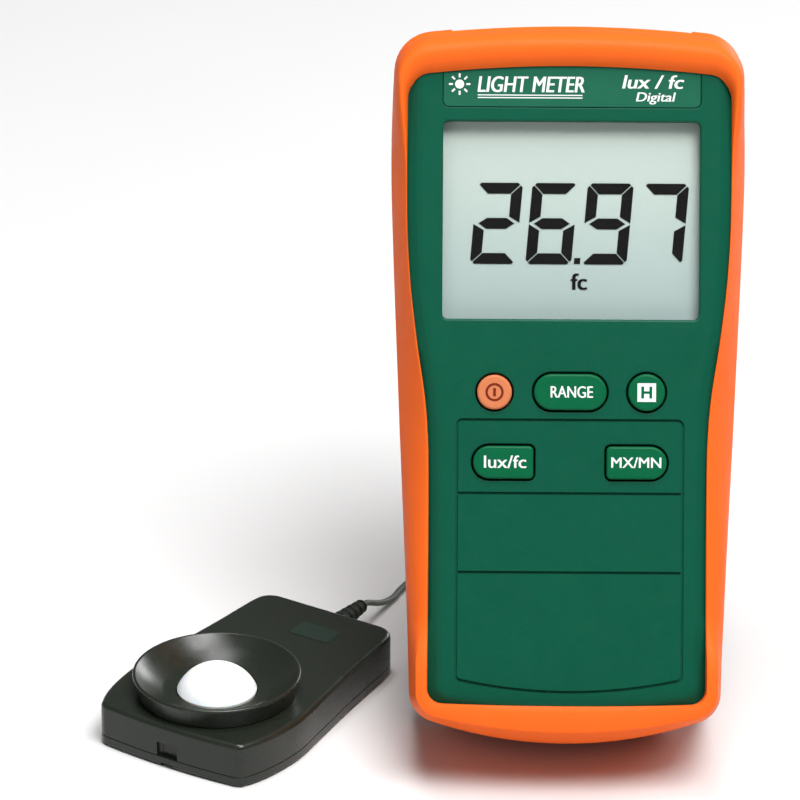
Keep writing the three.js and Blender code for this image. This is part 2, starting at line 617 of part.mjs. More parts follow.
// ---------------------------------------------------------------- sensor head
const sensorSide = curveThrough([
  [0, 17.6], [20, 19.1], [36, 20.9], [44, 21.8], [48, 21.8], [54.5, 21.0], [59, 19.8], [62.9, 18.1],
]);

// The head's outline, anticlockwise from the middle of its rear edge; grow is outwards.
function sensorOutline(grow) {
  const corner = 4.5;
  const half = [[-grow, 0]];
  for (let i = 0; i <= 4; i += 1) {
    const angle = (i / 4) * (Math.PI / 2);
    const reach = corner + grow;
    half.push([corner - reach * Math.cos(angle), -(17.75 - corner + reach * Math.sin(angle))]);
  }
  for (const x of [14, 25, 36, 41, 45, 49, 53, 57, 60.5]) half.push([x, -sensorSide(x) - grow]);
  const front = SENSOR.length + grow;
  half.push([front, -18.1 - grow * 0.7], [front + 0.9, -9], [front + 1.2, 0]);
  return [...half, ...half.slice(1, -1).reverse().map(([x, y]) => [x, -y])];
}

const sensorRing = (grow, z) => sensorOutline(grow).map(([x, y]) => new THREE.Vector3(x, y, z));

const SENSOR_SCREW_AT = [[14, 12], [14, -12]];
const SENSOR_BOSS = 3.4; // top of the screw bosses on the base

function makeSensorTop() {
  const { height, split } = SENSOR;
  const outside = loft([sensorRing(0, split + GAP), sensorRing(0, height - 0.5), sensorRing(-0.5, height)]);
  const hollow = loft([sensorRing(-1.6, 0), sensorRing(-1.6, height - 1.6)]);
  const posts = SENSOR_SCREW_AT.map(([x, y]) => rod(2.6, x, y, SENSOR_BOSS + GAP, height - 1, 12));
  const pilots = SENSOR_SCREW_AT.map(([x, y]) => rod(1.1, x, y, 0, 7.4, 10));
  const cupHole = rod(13.3, CUP.at, 0, 6, 12, 32);
  const leadHole = rod(RELIEF.root + GAP, 0, 0, -6, 3, 16).rotateY(Math.PI / 2).translate(0, 0, RELIEF.z);
  const lug = block(SENSOR.length + 0.2, SENSOR.length + 3, -2.6, 2.6, 0, 5.6);
  return cut(join(cut(outside, hollow), ...posts), ...pilots, cupHole, leadHole, lug);
}

function makeSensorBase() {
  const { split } = SENSOR;
  const plate = loft([sensorRing(-0.6, 0), sensorRing(0, 0.6), sensorRing(0, split)]);
  const lip = cut(
    loft([sensorRing(-1.9, 1), sensorRing(-1.9, split + 1.2)]),
    loft([sensorRing(-2.9, 0), sensorRing(-2.9, split + 3)]),
    block(-4, 8, -3.4, 3.4, split, 8),
  );
  const bosses = SENSOR_SCREW_AT.map(([x, y]) => rod(2.6, x, y, 1, SENSOR_BOSS, 12));
  const holes = SENSOR_SCREW_AT.flatMap(([x, y]) => [rod(1.3, x, y, -1, 4, 10), rod(2.4, x, y, -1, 2, 12)]);
  const lug = block(SENSOR.length + 0.2, SENSOR.length + 3, -1.5, 1.5, -1, 0.8);
  return cut(join(plate, lip, ...bosses), ...holes, lug);
}

function makeLightCup() {
  const { floor, rim, rimRadius, foot, throat } = CUP;
  const top = SENSOR.height + GAP;
  return turned([
    [4.6, 7.2], [13, 7.2], [13, top], [foot, top],
    [rimRadius, rim - 0.4], [rimRadius - 0.1, rim], [rimRadius - 0.6, rim], [throat, floor],
    [DOME.radius + 0.2, floor], [DOME.radius + 0.2, 9.4], [6, 9.4], [6, 8], [4.6, 8], [4.6, 7.2],
  ], 28).translate(CUP.at, 0, 0);
}

function makeDome() {
  const { radius, rise, base } = DOME;
  const sphere = (radius ** 2 + rise ** 2) / (2 * rise);
  const profile = [[0, 9.7], [radius - 0.1, 9.7]];
  const span = Math.asin(radius / sphere);
  for (let i = 0; i <= 5; i += 1) {
    const angle = span * (1 - i / 5);
    profile.push([sphere * Math.sin(angle), base + rise - sphere + sphere * Math.cos(angle)]);
  }
  return turned(profile, 24).translate(CUP.at, 0, 0);
}

const makeFilter = () => rod(5.6, CUP.at, 0, 8.3, 9.1, 20);
const makeSensorBoard = () => block(CUP.at - 9, CUP.at + 9, -8, 8, 3.7, 4.9);
const makePhotodiode = () => block(CUP.at - 3.5, CUP.at + 3.5, -3, 3, 5.2, 6.8);
const LABEL_BACK = SENSOR.height + GAP;
const makeSensorLabel = () => slab(roundedRectangle(6, 10, 0.8, 11, 3), LABEL_BACK, LABEL_BACK + 0.25);

function makeSensorRelief() {
  const sleeve = ribbedSleeve(RELIEF.root, RELIEF.tip, RELIEF.length + 1.6, 5).translate(0, 0, -1.6);
  const anchor = rod(2.9, 0, 0, -3.2, -2, 12);
  const neck = rod(RELIEF.root, 0, 0, -2.6, -1.2, 12);
  return join(sleeve, neck, anchor).rotateY(-Math.PI / 2).translate(0, 0, RELIEF.z);
}

// ---------------------------------------------------------------- cable
function tube(route, steps) {
  const points = route.map((point) => new THREE.Vector3(...point));
  const path = new THREE.CatmullRomCurve3(points, false, 'centripetal');
  const section = new THREE.Shape().absarc(0, 0, CORD / 2, 0, Math.PI * 2);
  return new THREE.ExtrudeGeometry(section, { extrudePath: path, steps, curveSegments: 4 });
}

const makeCordCoil = () => turned(
  [
    [COIL.inner, 0.6], [COIL.inner + 0.6, 0], [COIL.outer - 0.6, 0], [COIL.outer, 0.6],
    [COIL.outer, COIL.height - 0.6], [COIL.outer - 0.6, COIL.height],
    [COIL.inner + 0.6, COIL.height], [COIL.inner, COIL.height - 0.6], [COIL.inner, 0.6],
  ], 24,
);

function makeCableTie() {
  const [x0, x1] = [COIL.inner - GAP, COIL.outer + GAP];
  const [z0, z1] = [0, COIL.height + GAP];
  const band = cut(block(x0 - 0.9, x1 + 0.9, -1.3, 1.3, z0, z1 + 0.8), block(x0, x1, -3, 3, -2, z1));
  return join(band, block(x1 + 0.5, x1 + 2, -1.9, 1.9, 1.2, 4.4));
}

// ---------------------------------------------------------------- assembly
const object = new THREE.Group();
const instrument = new THREE.Group();
const sensor = new THREE.Group();
const cable = new THREE.Group();
const stand = new THREE.Group();
object.add(instrument, sensor, cable);
instrument.add(stand);
for (const group of [instrument, sensor, cable]) group.position.set(INSTRUMENT_X, INSTRUMENT_Y, 0);

instrument.position.z = FACE_HEIGHT;
instrument.rotation.x = Math.PI / 2 - LEAN;
sensor.position.x += SENSOR.x;
sensor.position.y += SENSOR.y;
sensor.rotation.z = -Math.PI / 2 - SENSOR.heading;

// The open stand leans out until its foot touches the table.
const hingeHeight = FACE_HEIGHT + HINGE.y * Math.cos(LEAN) + HINGE.z * Math.sin(LEAN);
const standOpen = LEAN + Math.acos((hingeHeight - STAND.foot) / STAND.length);
stand.position.set(0, HINGE.y, HINGE.z);
stand.rotation.x = standOpen;

function place(group, name, material, geometry) {
  const mesh = new THREE.Mesh(geometry, MATERIALS[material]);
  mesh.name = name;
  group.add(mesh);
  return mesh;
}

place(instrument, 'holster', 'holster', makeHolster());
place(instrument, 'front_shell', 'caseGreen', makeFrontShell());
place(instrument, 'rear_shell', 'caseGreen', makeRearShell());
place(instrument, 'nameplate', 'nameplate', slab(nameplateShape(0), -NAMEPLATE.depth, -0.1));
place(instrument, 'display_window', 'window', makeLens());
place(instrument, 'lcd_glass', 'display', makeGlass());
place(instrument, 'lcd_frame', 'carrier', makeLcdFrame());
place(instrument, 'zebra_strip_upper', 'zebra', makeZebra(WINDOW.y + 19.4));
place(instrument, 'zebra_strip_lower', 'zebra', makeZebra(WINDOW.y - 19.4));
for (const key of KEYS) place(instrument, key.name, key.material, makeKey(key));
place(instrument, 'keypad_mat', 'silicone', makeKeypad());
place(instrument, 'main_board', 'board', makeMainBoard());
place(instrument, 'processor_chip', 'chip', makeProcessor());
place(instrument, 'amplifier_chip', 'chip', makeAmplifier());
place(instrument, 'clock_crystal', 'steel', makeCrystal());
place(instrument, 'sensor_header', 'carrier', makeHeader());
for (let i = 0; i < 4; i += 1) {
  place(instrument, `battery_cell_${i + 1}`, 'cell', makeCell(i));
  place(instrument, `battery_spring_${i + 1}`, 'spring', makeSpring(i));
  place(instrument, `battery_contact_${i + 1}`, 'spring', makeContact(i));
}
place(instrument, 'battery_cover', 'caseGreen', makeBatteryCover());
place(instrument, 'cover_screw', 'steel', screw(0, COVER.screwY, CASE_BACK - 0.9, 2.2, 1, 7));
SCREW_AT.forEach(([x, y], i) => {
  place(instrument, `case_screw_${i + 1}`, 'steel', screw(x, y, -27.9, 2.4, 1.2, 20));
});
BOARD_SCREW_AT.forEach(([x, y], i) => {
  place(instrument, `board_screw_${i + 1}`, 'steel', screw(x, y, boardBack - 1.5, 2, 0.9, 6.5));
});
place(instrument, 'tripod_insert', 'brass', makeTripodInsert());
place(stand, 'tilt_stand', 'sensorBlack', makeStand());
place(instrument, 'stand_pin', 'steel', makeStandPin());
place(instrument, 'lead_gland', 'cable', makeLeadGland());

place(sensor, 'sensor_top_case', 'sensorBlack', makeSensorTop());
place(sensor, 'sensor_base_case', 'sensorBlack', makeSensorBase());
place(sensor, 'light_cup', 'sensorBlack', makeLightCup());
place(sensor, 'diffuser_dome', 'dome', makeDome());
place(sensor, 'optical_filter', 'filter', makeFilter());
place(sensor, 'photodiode', 'chip', makePhotodiode());
place(sensor, 'sensor_board', 'board', makeSensorBoard());
SENSOR_SCREW_AT.forEach(([x, y], i) => {
  place(sensor, `sensor_screw_${i + 1}`, 'steel', screw(x, y, 0.1, 2.1, 0.8, 6));
});
place(sensor, 'sensor_label', 'sensorLabel', makeSensorLabel());
place(sensor, 'sensor_strain_relief', 'cable', makeSensorRelief());

place(cable, 'cord_run', 'cable', tube(RUN_ROUTE, 26));
place(cable, 'cord_drop', 'cable', tube(DROP_ROUTE, 34));
const coil = place(cable, 'cord_coil', 'cable', makeCordCoil());
coil.position.set(COIL.x, COIL.y, 0);
const tie = place(cable, 'cable_tie', 'sensorBlack', makeCableTie());
tie.position.set(COIL.x, COIL.y, 0);

export default object;
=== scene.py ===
"""Looks for a hand-held light meter with a remote sensor head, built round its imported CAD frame.

Shapes are drawn in millimetres in the CAD model's own local frames, and go to metres when a piece is
finished. The instrument is drawn lying on its back: x across, y up its face, z out of the face. The
sensor head is drawn with x from its rear edge to its front edge, y across and z up.
"""

import json
import math

import bmesh
import bpy
from mathutils import Matrix, Vector


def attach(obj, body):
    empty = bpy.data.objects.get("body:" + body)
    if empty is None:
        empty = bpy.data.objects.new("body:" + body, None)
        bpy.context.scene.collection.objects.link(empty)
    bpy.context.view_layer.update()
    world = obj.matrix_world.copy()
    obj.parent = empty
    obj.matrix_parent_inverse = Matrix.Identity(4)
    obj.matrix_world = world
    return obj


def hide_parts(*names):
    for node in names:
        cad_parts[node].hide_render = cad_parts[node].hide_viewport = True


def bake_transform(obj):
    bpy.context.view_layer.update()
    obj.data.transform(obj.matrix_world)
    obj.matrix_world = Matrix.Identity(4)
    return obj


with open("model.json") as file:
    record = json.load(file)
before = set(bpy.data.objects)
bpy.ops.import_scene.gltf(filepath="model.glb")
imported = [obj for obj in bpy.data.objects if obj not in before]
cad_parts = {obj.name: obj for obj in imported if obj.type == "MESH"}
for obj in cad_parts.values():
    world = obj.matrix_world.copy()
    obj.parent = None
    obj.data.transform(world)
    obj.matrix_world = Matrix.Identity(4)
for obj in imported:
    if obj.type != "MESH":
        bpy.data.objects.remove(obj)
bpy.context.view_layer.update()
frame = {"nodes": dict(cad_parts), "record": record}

# ---------------------------------------------------------------- driving dimensions, as in the CAD
MM = 0.001
GAP = 0.3
LEAN = math.radians(25)
FACE_HEIGHT = 81
MIDDLE = (31.3, -15.65)
CASE_BACK = -31
PARTING = -13.5
WALL = 1.8
HOLSTER_WALL = 2.8
HOLSTER_BACK = -35
SHOULDER = -9
SLOT_HALF = 24.5
STAND_HALF = 17
WINDOW = dict(width=53.9, height=41.4, y=34.4)
LENS = dict(width=57, height=44.5, back=-3.3, front=-2.1)
GLASS = dict(width=55.6, height=43, back=-5.8, front=-3.6)
KEY_TOP = 0.9
KEY_FOOT = -5.9
KEYS = {  # x, y, width, height, squared side
    "power_key": (-15.9, -1.7, 7.3, 7.3, None),
    "range_key": (0, -1.6, 15.3, 7.6, None),
    "hold_key": (16.0, -1.6, 7.8, 7.8, None),
    "unit_key": (-14.0, -16.4, 12.7, 6.9, "right"),
    "max_min_key": (14.0, -16.4, 12.7, 6.9, "left"),
}
PANEL = dict(half=23.7, top=-7.5, shoulder=-62, middle=-64.6, lines=(-22.9, -39.5), corner=1.2)
GROOVE = dict(width=0.6, depth=0.5)
NAMEPLATE = dict(width=54, low=58.2, high=67.2, depth=0.7)
HEADING = math.radians(32.1)
SENSOR_LENGTH = 62.9
SENSOR_HEIGHT = 9.9
SENSOR_SPLIT = 2.2
CUP_AT = 45
CORD = 1.4
CORD_AT = 5.3  # height of the cord's exit from the sensor head
LUG_AT = SENSOR_LENGTH + 2.8
GLAND_Y = 66
EAR_RISE = 1.3  # how far the holster's upper back stands above its top

TABLE_FRAME = Matrix.Translation((*MIDDLE, 0))
INSTRUMENT = Matrix.Translation((*MIDDLE, FACE_HEIGHT)) @ Matrix.Rotation(math.pi / 2 - LEAN, 4, "X")
SENSOR = (
    TABLE_FRAME
    @ Matrix.Translation((-50.8, 33.7, 0))
    @ Matrix.Rotation(-math.pi / 2 - HEADING, 4, "Z")
)
scene = bpy.context.scene


# ---------------------------------------------------------------- camera
VIEW = dict(width=167.84, distance=1000, left=35.73, down=3.25, roll=0.35)


def make_camera():
    """Looks square on to the face; the view's middle is left of the face's and a little below it."""
    across = Vector((1, 0, 0))
    along = Vector((0, math.sin(LEAN), math.cos(LEAN)))
    out = Vector((0, -math.cos(LEAN), math.sin(LEAN)))
    roll = math.radians(VIEW["roll"])
    side = math.cos(roll) * across + math.sin(roll) * along
    up = math.cos(roll) * along - math.sin(roll) * across
    target = Vector((*MIDDLE, FACE_HEIGHT)) - VIEW["left"] * side - VIEW["down"] * up
    data = bpy.data.cameras.new("camera")
    data.sensor_width = 36
    data.lens = data.sensor_width * VIEW["distance"] / VIEW["width"]
    data.clip_start = 0.05
    data.clip_end = 20
    camera = bpy.data.objects.new("camera", data)
    turn = Matrix((side, up, out)).transposed().to_4x4()
    camera.matrix_world = Matrix.Translation((target + VIEW["distance"] * out) * MM) @ turn
    scene.collection.objects.link(camera)
    scene.camera = camera


# ---------------------------------------------------------------- solids
def solid(vertices, faces):
    mesh = bpy.data.meshes.new("solid")
    mesh.from_pydata([tuple(v) for v in vertices], [], faces)
    mesh.update()
    made = bpy.data.objects.new("solid", mesh)
    scene.collection.objects.link(made)
    return made


def loft(rings, closed=False):
    """A skin over rings of equal length, from the lowest up, capped at both ends unless it is closed."""
    count = len(rings[0])
    faces = []
    for row in range(len(rings) if closed else len(rings) - 1):
        low, high = row * count, (row + 1) % len(rings) * count
        for i in range(count):
            j = (i + 1) % count
            faces.append((low + i, low + j, high + j, high + i))
    if not closed:
        faces.append(tuple(reversed(range(count))))
        faces.append(tuple(range((len(rings) - 1) * count, len(rings) * count)))
    return solid([p for ring in rings for p in ring], faces)


def lathe(profile, segments=96, at=(0, 0, 0)):
    """Turns an anticlockwise (radius, z) profile about the z axis, open or closed at the axis."""
    touches = profile[0][0] == 0
    inner = profile[1:-1] if touches else profile
    rings = []
    for radius, z in inner:
        angles = [2 * math.pi * i / segments for i in range(segments)]
        rings.append([(radius * math.cos(a), radius * math.sin(a), z) for a in angles])
    made = loft(rings, closed=not touches)
    if touches:
        add_poles(made, profile[0][1], profile[-1][1], segments, len(inner))
    made.data.transform(Matrix.Translation(at))
    return made


def add_poles(made, low, high, segments, rows):
    """Swaps a lathe's two flat caps for fans that meet on the axis."""
    points = [tuple(v.co) for v in made.data.vertices] + [(0, 0, low), (0, 0, high)]
    faces = [tuple(p.vertices) for p in made.data.polygons if len(p.vertices) == 4]
    last = (rows - 1) * segments
    for i in range(segments):
        j = (i + 1) % segments
        faces.append((len(points) - 2, j, i))
        faces.append((len(points) - 1, last + i, last + j))
    made.data.clear_geometry()
    made.data.from_pydata(points, [], faces)
    made.data.update()


def prism(outline, low, high):
    """A flat outline, anticlockwise, raised from one height to another."""
    return loft([[(x, y, z) for x, y in outline] for z in (low, high)])


def block(x0, x1, y0, y1, z0, z1):
    return prism([(x0, y0), (x1, y0), (x1, y1), (x0, y1)], z0, z1)


def rod(radius, x, y, low, high, sides=32):
    angles = [2 * math.pi * i / sides for i in range(sides)]
    return prism([(x + radius * math.cos(a), y + radius * math.sin(a)) for a in angles], low, high)


def cushion(outline, low, high, edge, steps=5):
    """A flat outline raised between two heights with a rounded upper edge; outline takes a growth."""
    rows = [(0, low)]
    for i in range(steps + 1):
        a = math.pi / 2 * i / steps
        rows.append((-edge * (1 - math.cos(a)), high - edge * (1 - math.sin(a))))
    return loft([[(x, y, z) for x, y in outline(grow)] for grow, z in rows])


def flare(outline, low, high, edge, steps=4):
    """A cutter for an opening with a rounded rim at the given height."""
    rows = [(0, low)]
    for i in range(steps + 1):
        a = math.pi / 2 * i / steps
        rows.append((edge * (1 - math.cos(a)), high - edge * (1 - math.sin(a))))
    rows.append((edge, high + 4))
    return loft([[(x, y, z) for x, y in outline(grow)] for grow, z in rows])


def bake(made):
    """Applies a piece's modifiers."""
    graph = bpy.context.evaluated_depsgraph_get()
    mesh = bpy.data.meshes.new_from_object(made.evaluated_get(graph))
    made.modifiers.clear()
    old, made.data = made.data, mesh
    bpy.data.meshes.remove(old)
    return made


def combine(base, others, operation):
    for other in others:
        modifier = base.modifiers.new("combine", "BOOLEAN")
        modifier.operation = operation
        modifier.solver = "MANIFOLD"
        modifier.object = other
    bake(base)
    for other in others:
        bpy.data.objects.remove(other)
    return base


def cut(base, *tools):
    return combine(base, tools, "DIFFERENCE")


def join(base, *others):
    return combine(base, others, "UNION")


def gathered(pieces):
    """Several separate bodies as one piece."""
    whole = bmesh.new()
    for piece in pieces:
        whole.from_mesh(piece.data)
        bpy.data.objects.remove(piece)
    mesh = bpy.data.meshes.new("gathered")
    whole.to_mesh(mesh)
    whole.free()
    made = bpy.data.objects.new("gathered", mesh)
    scene.collection.objects.link(made)
    return made


def refined(node, width, angle=32, segments=2):
    """A copy of a CAD node with its flat facets merged and its crisp edges rounded."""
    work = bmesh.new()
    work.from_mesh(frame["nodes"][node].data)
    bmesh.ops.remove_doubles(work, verts=work.verts, dist=1e-6)
    bmesh.ops.dissolve_limit(work, angle_limit=math.radians(1), verts=work.verts, edges=work.edges)
    mesh = bpy.data.meshes.new(node)
    work.to_mesh(mesh)
    work.free()
    made = bpy.data.objects.new(node, mesh)
    scene.collection.objects.link(made)
    bevel = made.modifiers.new("edges", "BEVEL")
    bevel.width = width * MM
    bevel.segments = segments
    bevel.limit_method = "ANGLE"
    bevel.angle_limit = math.radians(angle)
    return bake(made)


def smooth(made, angle=30):
    """Smooth shading between crisp edges, with flat faces kept flat."""
    made.data.shade_smooth()
    made.data.set_sharp_from_angle(angle=math.radians(angle))
    weighted = made.modifiers.new("normals", "WEIGHTED_NORMAL")
    weighted.keep_sharp = True


def finished(made, name, slot, body, place=None, replaces=(), angle=30, look=None):
    """Names a piece, moves it to its place in metres, and gives it its finish and its body."""
    made.name = name
    made.data.name = name
    if place is not None:
        made.data.transform(Matrix.Scale(MM, 4) @ place)
    made.data.materials.clear()
    made.data.materials.append(MATERIALS[look or slot])
    smooth(made, angle)
    if body:
        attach(made, body)
    if replaces:
        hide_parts(*replaces)
    return made


# ---------------------------------------------------------------- the instrument's outlines
def curve_through(points):
    """A smooth curve y -> x through a few (y, x) points in rising y."""

    def slope(i):
        a, b = points[max(i - 1, 0)], points[min(i + 1, len(points) - 1)]
        return (b[1] - a[1]) / (b[0] - a[0])

    def value(y):
        k = sum(1 for p in points[1:-1] if p[0] <= y)
        (y0, x0), (y1, x1) = points[k], points[k + 1]
        span = y1 - y0
        t = min(max((y - y0) / span, 0), 1)
        return (
            (2 * t**3 - 3 * t**2 + 1) * x0
            + (t**3 - 2 * t**2 + t) * span * slope(k)
            + (3 * t**2 - 2 * t**3) * x1
            + (t**3 - t**2) * span * slope(k + 1)
        )

    return value


def plan(side, top, top_arc, top_corner, bottom, bottom_arc, bottom_corner):
    return dict(
        side=side,
        top=top,
        top_arc=top_arc,
        top_corner=top_corner,
        bottom=bottom,
        bottom_arc=bottom_arc,
        bottom_corner=bottom_corner,
    )


BODY_X = -0.45  # the middle of the body, left of the middle of the window and the keys
HOLSTER_SIDE = curve_through([(-75, 32.8), (-55, 33.3), (-3, 35.6), (40, 37.3), (56, 37.3), (75, 36.5)])
HOLSTER_PLAN = plan(HOLSTER_SIDE, 75, 280, 8.5, 76, 89, 6.5)
FACE_SIDE = curve_through(
    [(-70, 29.2), (-16, 29.2), (-4, 29.9), (9, 31.8), (22, 33.3), (36, 34.0), (70, 33.9)]
)
FACE_PLAN = plan(FACE_SIDE, 66.4, 267, 5.0, 67.5, 800, 3.2)
BEVEL_PLAN = plan(FACE_SIDE, 70.4, 275, 6, 70.4, 150, 5)


def grown(base, by, **more):
    """A plan grown outwards all round, or shrunk by a negative amount."""
    made = {key: value + by for key, value in base.items() if key != "side"}
    made["side"] = lambda y: base["side"](y) + by
    made["top_corner"] = max(made["top_corner"], 1)
    made["bottom_corner"] = max(made["bottom_corner"], 1)
    return {**made, **more}


CASE_PLAN = grown(HOLSTER_PLAN, -HOLSTER_WALL)
CORNER_STEPS = 9
ARC_STEPS = 10
SIDE_STEPS = 40


def outline_end(side, top, arc, corner):
    """One end of an outline from side to middle: a rounded corner, then half of a shallow arc."""
    centre = top - arc
    x, y = 0, top - corner
    for _ in range(6):
        x = side(y) - corner
        y = centre + math.sqrt((arc - corner) ** 2 - x * x)
    start = math.atan(-(side(y + 1) - side(y - 1)) / 2)
    end = math.pi / 2 - math.atan2(x, y - centre)
    points = []
    for i in range(CORNER_STEPS + 1):
        angle = start + (end - start) * i / CORNER_STEPS
        points.append((x + corner * math.cos(angle), y + corner * math.sin(angle)))
    for i in range(1, ARC_STEPS + 1):
        angle = (math.pi / 2 - end) * (1 - i / ARC_STEPS)
        points.append((arc * math.sin(angle), centre + arc * math.cos(angle)))
    return points


def outline(base):
    """A plan's outline, anticlockwise from the middle of the bottom."""
    side = base["side"]
    upper = outline_end(side, base["top"], base["top_arc"], base["top_corner"])
    lower = outline_end(lambda y: side(-y), base["bottom"], base["bottom_arc"], base["bottom_corner"])
    lower = [(x, -y) for x, y in reversed(lower)]
    y0, y1 = lower[-1][1], upper[0][1]
    levels = [y0 + (y1 - y0) * i / SIDE_STEPS for i in range(1, SIDE_STEPS)]
    right = lower + [(side(y), y) for y in levels] + upper
    whole = right + [(-x, y) for x, y in reversed(right[1:-1])]
    return [(x + BODY_X, y) for x, y in whole]


def ring(base, z):
    return [(x, y, z) for x, y in outline(base)]


def smoothstep(value, low, high):
    t = min(max((value - low) / (high - low), 0), 1)
    return t * t * (3 - 2 * t)


# ---------------------------------------------------------------- holster
# Its front edge in section: (share of the way in from outside to inner edge, height), for the lip over
# the top, the steep sides, the flatter sides further down and the cup at the bottom.
LIP = dict(
    top=[(0, -9), (0.04, -3.6), (0.16, 0.1), (0.36, 2.3), (0.64, 2.3), (0.88, 1.1), (1.04, -0.8)],
    side=[(0, -9), (0.14, -7.3), (0.34, -5.1), (0.6, -2.8), (0.84, -1.1), (0.97, -0.5), (1.05, -1.4)],
    low=[(0, -9), (0.06, -5.4), (0.2, -3.4), (0.45, -1.7), (0.75, -0.6), (0.95, -0.35), (1.05, -1.4)],
    bottom=[(0, -9), (0.08, -5), (0.21, -1.4), (0.34, 1.8), (0.42, 2.55), (0.95, 2.6), (1.03, 0.8)],
)
LIP_STEPS = 4


def section_curve(points, steps):
    """Points on a smooth curve through the given ones, a number of steps to each stretch."""
    padded = [points[0], *points, points[-1]]
    made = []
    for k in range(len(points) - 1):
        a, b, c, d = (Vector(p) for p in padded[k : k + 4])
        for i in range(steps):
            t = i / steps
            bend = (2 * a - 5 * b + 4 * c - d) * t**2 + (3 * b - a - 3 * c + d) * t**3
            made.append(tuple(b + 0.5 * ((c - a) * t + bend)))
    return made + [points[-1]]


def lip_rings():
    outer, inner = outline(HOLSTER_PLAN), outline(FACE_PLAN)
    rings = []
    for sections in zip(*(section_curve(LIP[part], LIP_STEPS) for part in LIP)):
        row = []
        for (x, y), (ix, iy) in zip(outer, inner):
            top, low, bottom = smoothstep(y, 46, 66), smoothstep(-y, 5, 45), smoothstep(-y, 50, 60)
            sides = 1 - top - bottom
            weights = (top, (1 - low) * sides, low * sides, bottom)
            share, z = (sum(w * point[k] for w, point in zip(weights, sections)) for k in (0, 1))
            row.append((x + (ix - x) * share, y + (iy - y) * share, z))
        rings.append(row)
    return rings


def case_rings(grow, back=True):
    """The case's outside from its back edge to the flat of the face; grow is the clearance round it."""
    side = grown(CASE_PLAN, grow)
    rings = [ring(side, PARTING)]
    if back:
        rings = [
            ring(grown(CASE_PLAN, grow - 2.2), CASE_BACK - grow),
            ring(grown(CASE_PLAN, grow - 0.6), CASE_BACK + 0.7 - grow),
            ring(side, CASE_BACK + 2.5),
        ]
    rings.append(ring(side, -4.5))
    for inward, drop in ((0, 1.3), (1.3, 0.62), (1.8, 0.34), (2.3, 0.13), (2.8, 0.03), (3.4, 0)):
        rings.append(ring(grown(BEVEL_PLAN, grow - inward), grow - drop))
    return rings


def make_holster():
    ear = HOLSTER_PLAN["top"] + EAR_RISE
    rings = []
    for i in range(6):
        a = math.pi / 2 * i / 5
        inward, lift = 2.2 * (1 - math.sin(a)), 2.6 * (1 - math.cos(a))
        rings.append(ring(grown(HOLSTER_PLAN, -inward, top=ear - inward), HOLSTER_BACK + lift))
    for fall, below in ((0, 2.4), (0.3, 1.6), (1.0, 0.6)):
        rings.append(ring(grown(HOLSTER_PLAN, 0, top=ear - fall), SHOULDER - below))
    made = loft([*rings, *lip_rings()])
    table = block(-60, 60, -60, 60, -60, 0)
    table.data.transform(INSTRUMENT.inverted() @ TABLE_FRAME)
    return cut(
        made,
        loft(case_rings(GAP)),
        loft([ring(FACE_PLAN, -6), ring(FACE_PLAN, 6)]),
        block(-SLOT_HALF, SLOT_HALF, -66, 90, -40, CASE_BACK + 1),
        block(-STAND_HALF - 2, STAND_HALF + 2, -70.8, -60, -40, CASE_BACK + 1),
        block(-SLOT_HALF - 0.6, SLOT_HALF + 1.4, 60, 90, -40, SHOULDER - 1.5),
        table,
    )


# ---------------------------------------------------------------- face
def rounded_rectangle(width, height, radius, x=0.0, y=0.0, steps=6):
    """An outline that takes a growth, anticlockwise."""

    def points(grow=0.0):
        r = max(radius + grow, 0.05)
        w, h = width / 2 + grow - r, height / 2 + grow - r
        made = []
        for turn, (sx, sy) in enumerate([(1, 1), (-1, 1), (-1, -1), (1, -1)]):
            for i in range(steps + 1):
                a = math.pi / 2 * (turn + i / steps)
                made.append((x + sx * w + r * math.cos(a), y + sy * h + r * math.sin(a)))
        return made

    return points


def key_outline(name, steps=12):
    x, y, width, height, squared = KEYS[name]

    def points(grow=0.0):
        w, h = width / 2 + grow, height / 2 + grow
        tight = max(1 + grow, 0.2)
        radii = {side: tight if squared == side else h - 0.001 for side in ("right", "left")}
        made = []
        for turn, (sx, sy) in enumerate([(1, 1), (-1, 1), (-1, -1), (1, -1)]):
            r = radii["right" if sx > 0 else "left"]
            for i in range(steps + 1):
                a = math.pi / 2 * (turn + i / steps)
                made.append((x + sx * (w - r) + r * math.cos(a), y + sy * (h - r) + r * math.sin(a)))
        return made

    return points


def panel_frame(grow, steps=24):
    half, top = PANEL["half"] + grow, PANEL["top"] + grow
    shoulder = PANEL["shoulder"] - grow
    sag = PANEL["shoulder"] - PANEL["middle"]
    corner = PANEL["corner"] + grow
    points = []
    for side, start in ((1, 0), (-1, 90)):
        for i in range(7):
            a = math.radians(start + 15 * i)
            x, y = side * (half - corner), top - corner
            points.append((x + corner * math.cos(a), y + corner * math.sin(a)))
    for i in range(7):
        a = math.radians(180 + 13 * i)
        x, y = -half + corner, shoulder + 0.8 * corner
        points.append((x + corner * math.cos(a), y + corner * math.sin(a)))
    for i in range(1, steps):
        t = (2 * i / steps - 1) * (1 - corner / half)
        points.append((half * t, shoulder - sag * (1 - t * t)))
    return points + [(-x, y) for x, y in reversed(points[14:21])]


def groove_tool(depth):
    """The panel's grooves as one cutter: a bowed frame and two lines across it."""
    half = GROOVE["width"] / 2
    around = cut(prism(panel_frame(half), -depth, 1), prism(panel_frame(-half), -2, 2))
    reach = PANEL["half"]
    lines = [block(-reach, reach, y - half, y + half, -depth, 1) for y in PANEL["lines"]]
    return join(around, *lines)


def nameplate_outline():
    height = NAMEPLATE["high"] - NAMEPLATE["low"]
    return rounded_rectangle(NAMEPLATE["width"], height, 1.2, y=NAMEPLATE["low"] + height / 2)


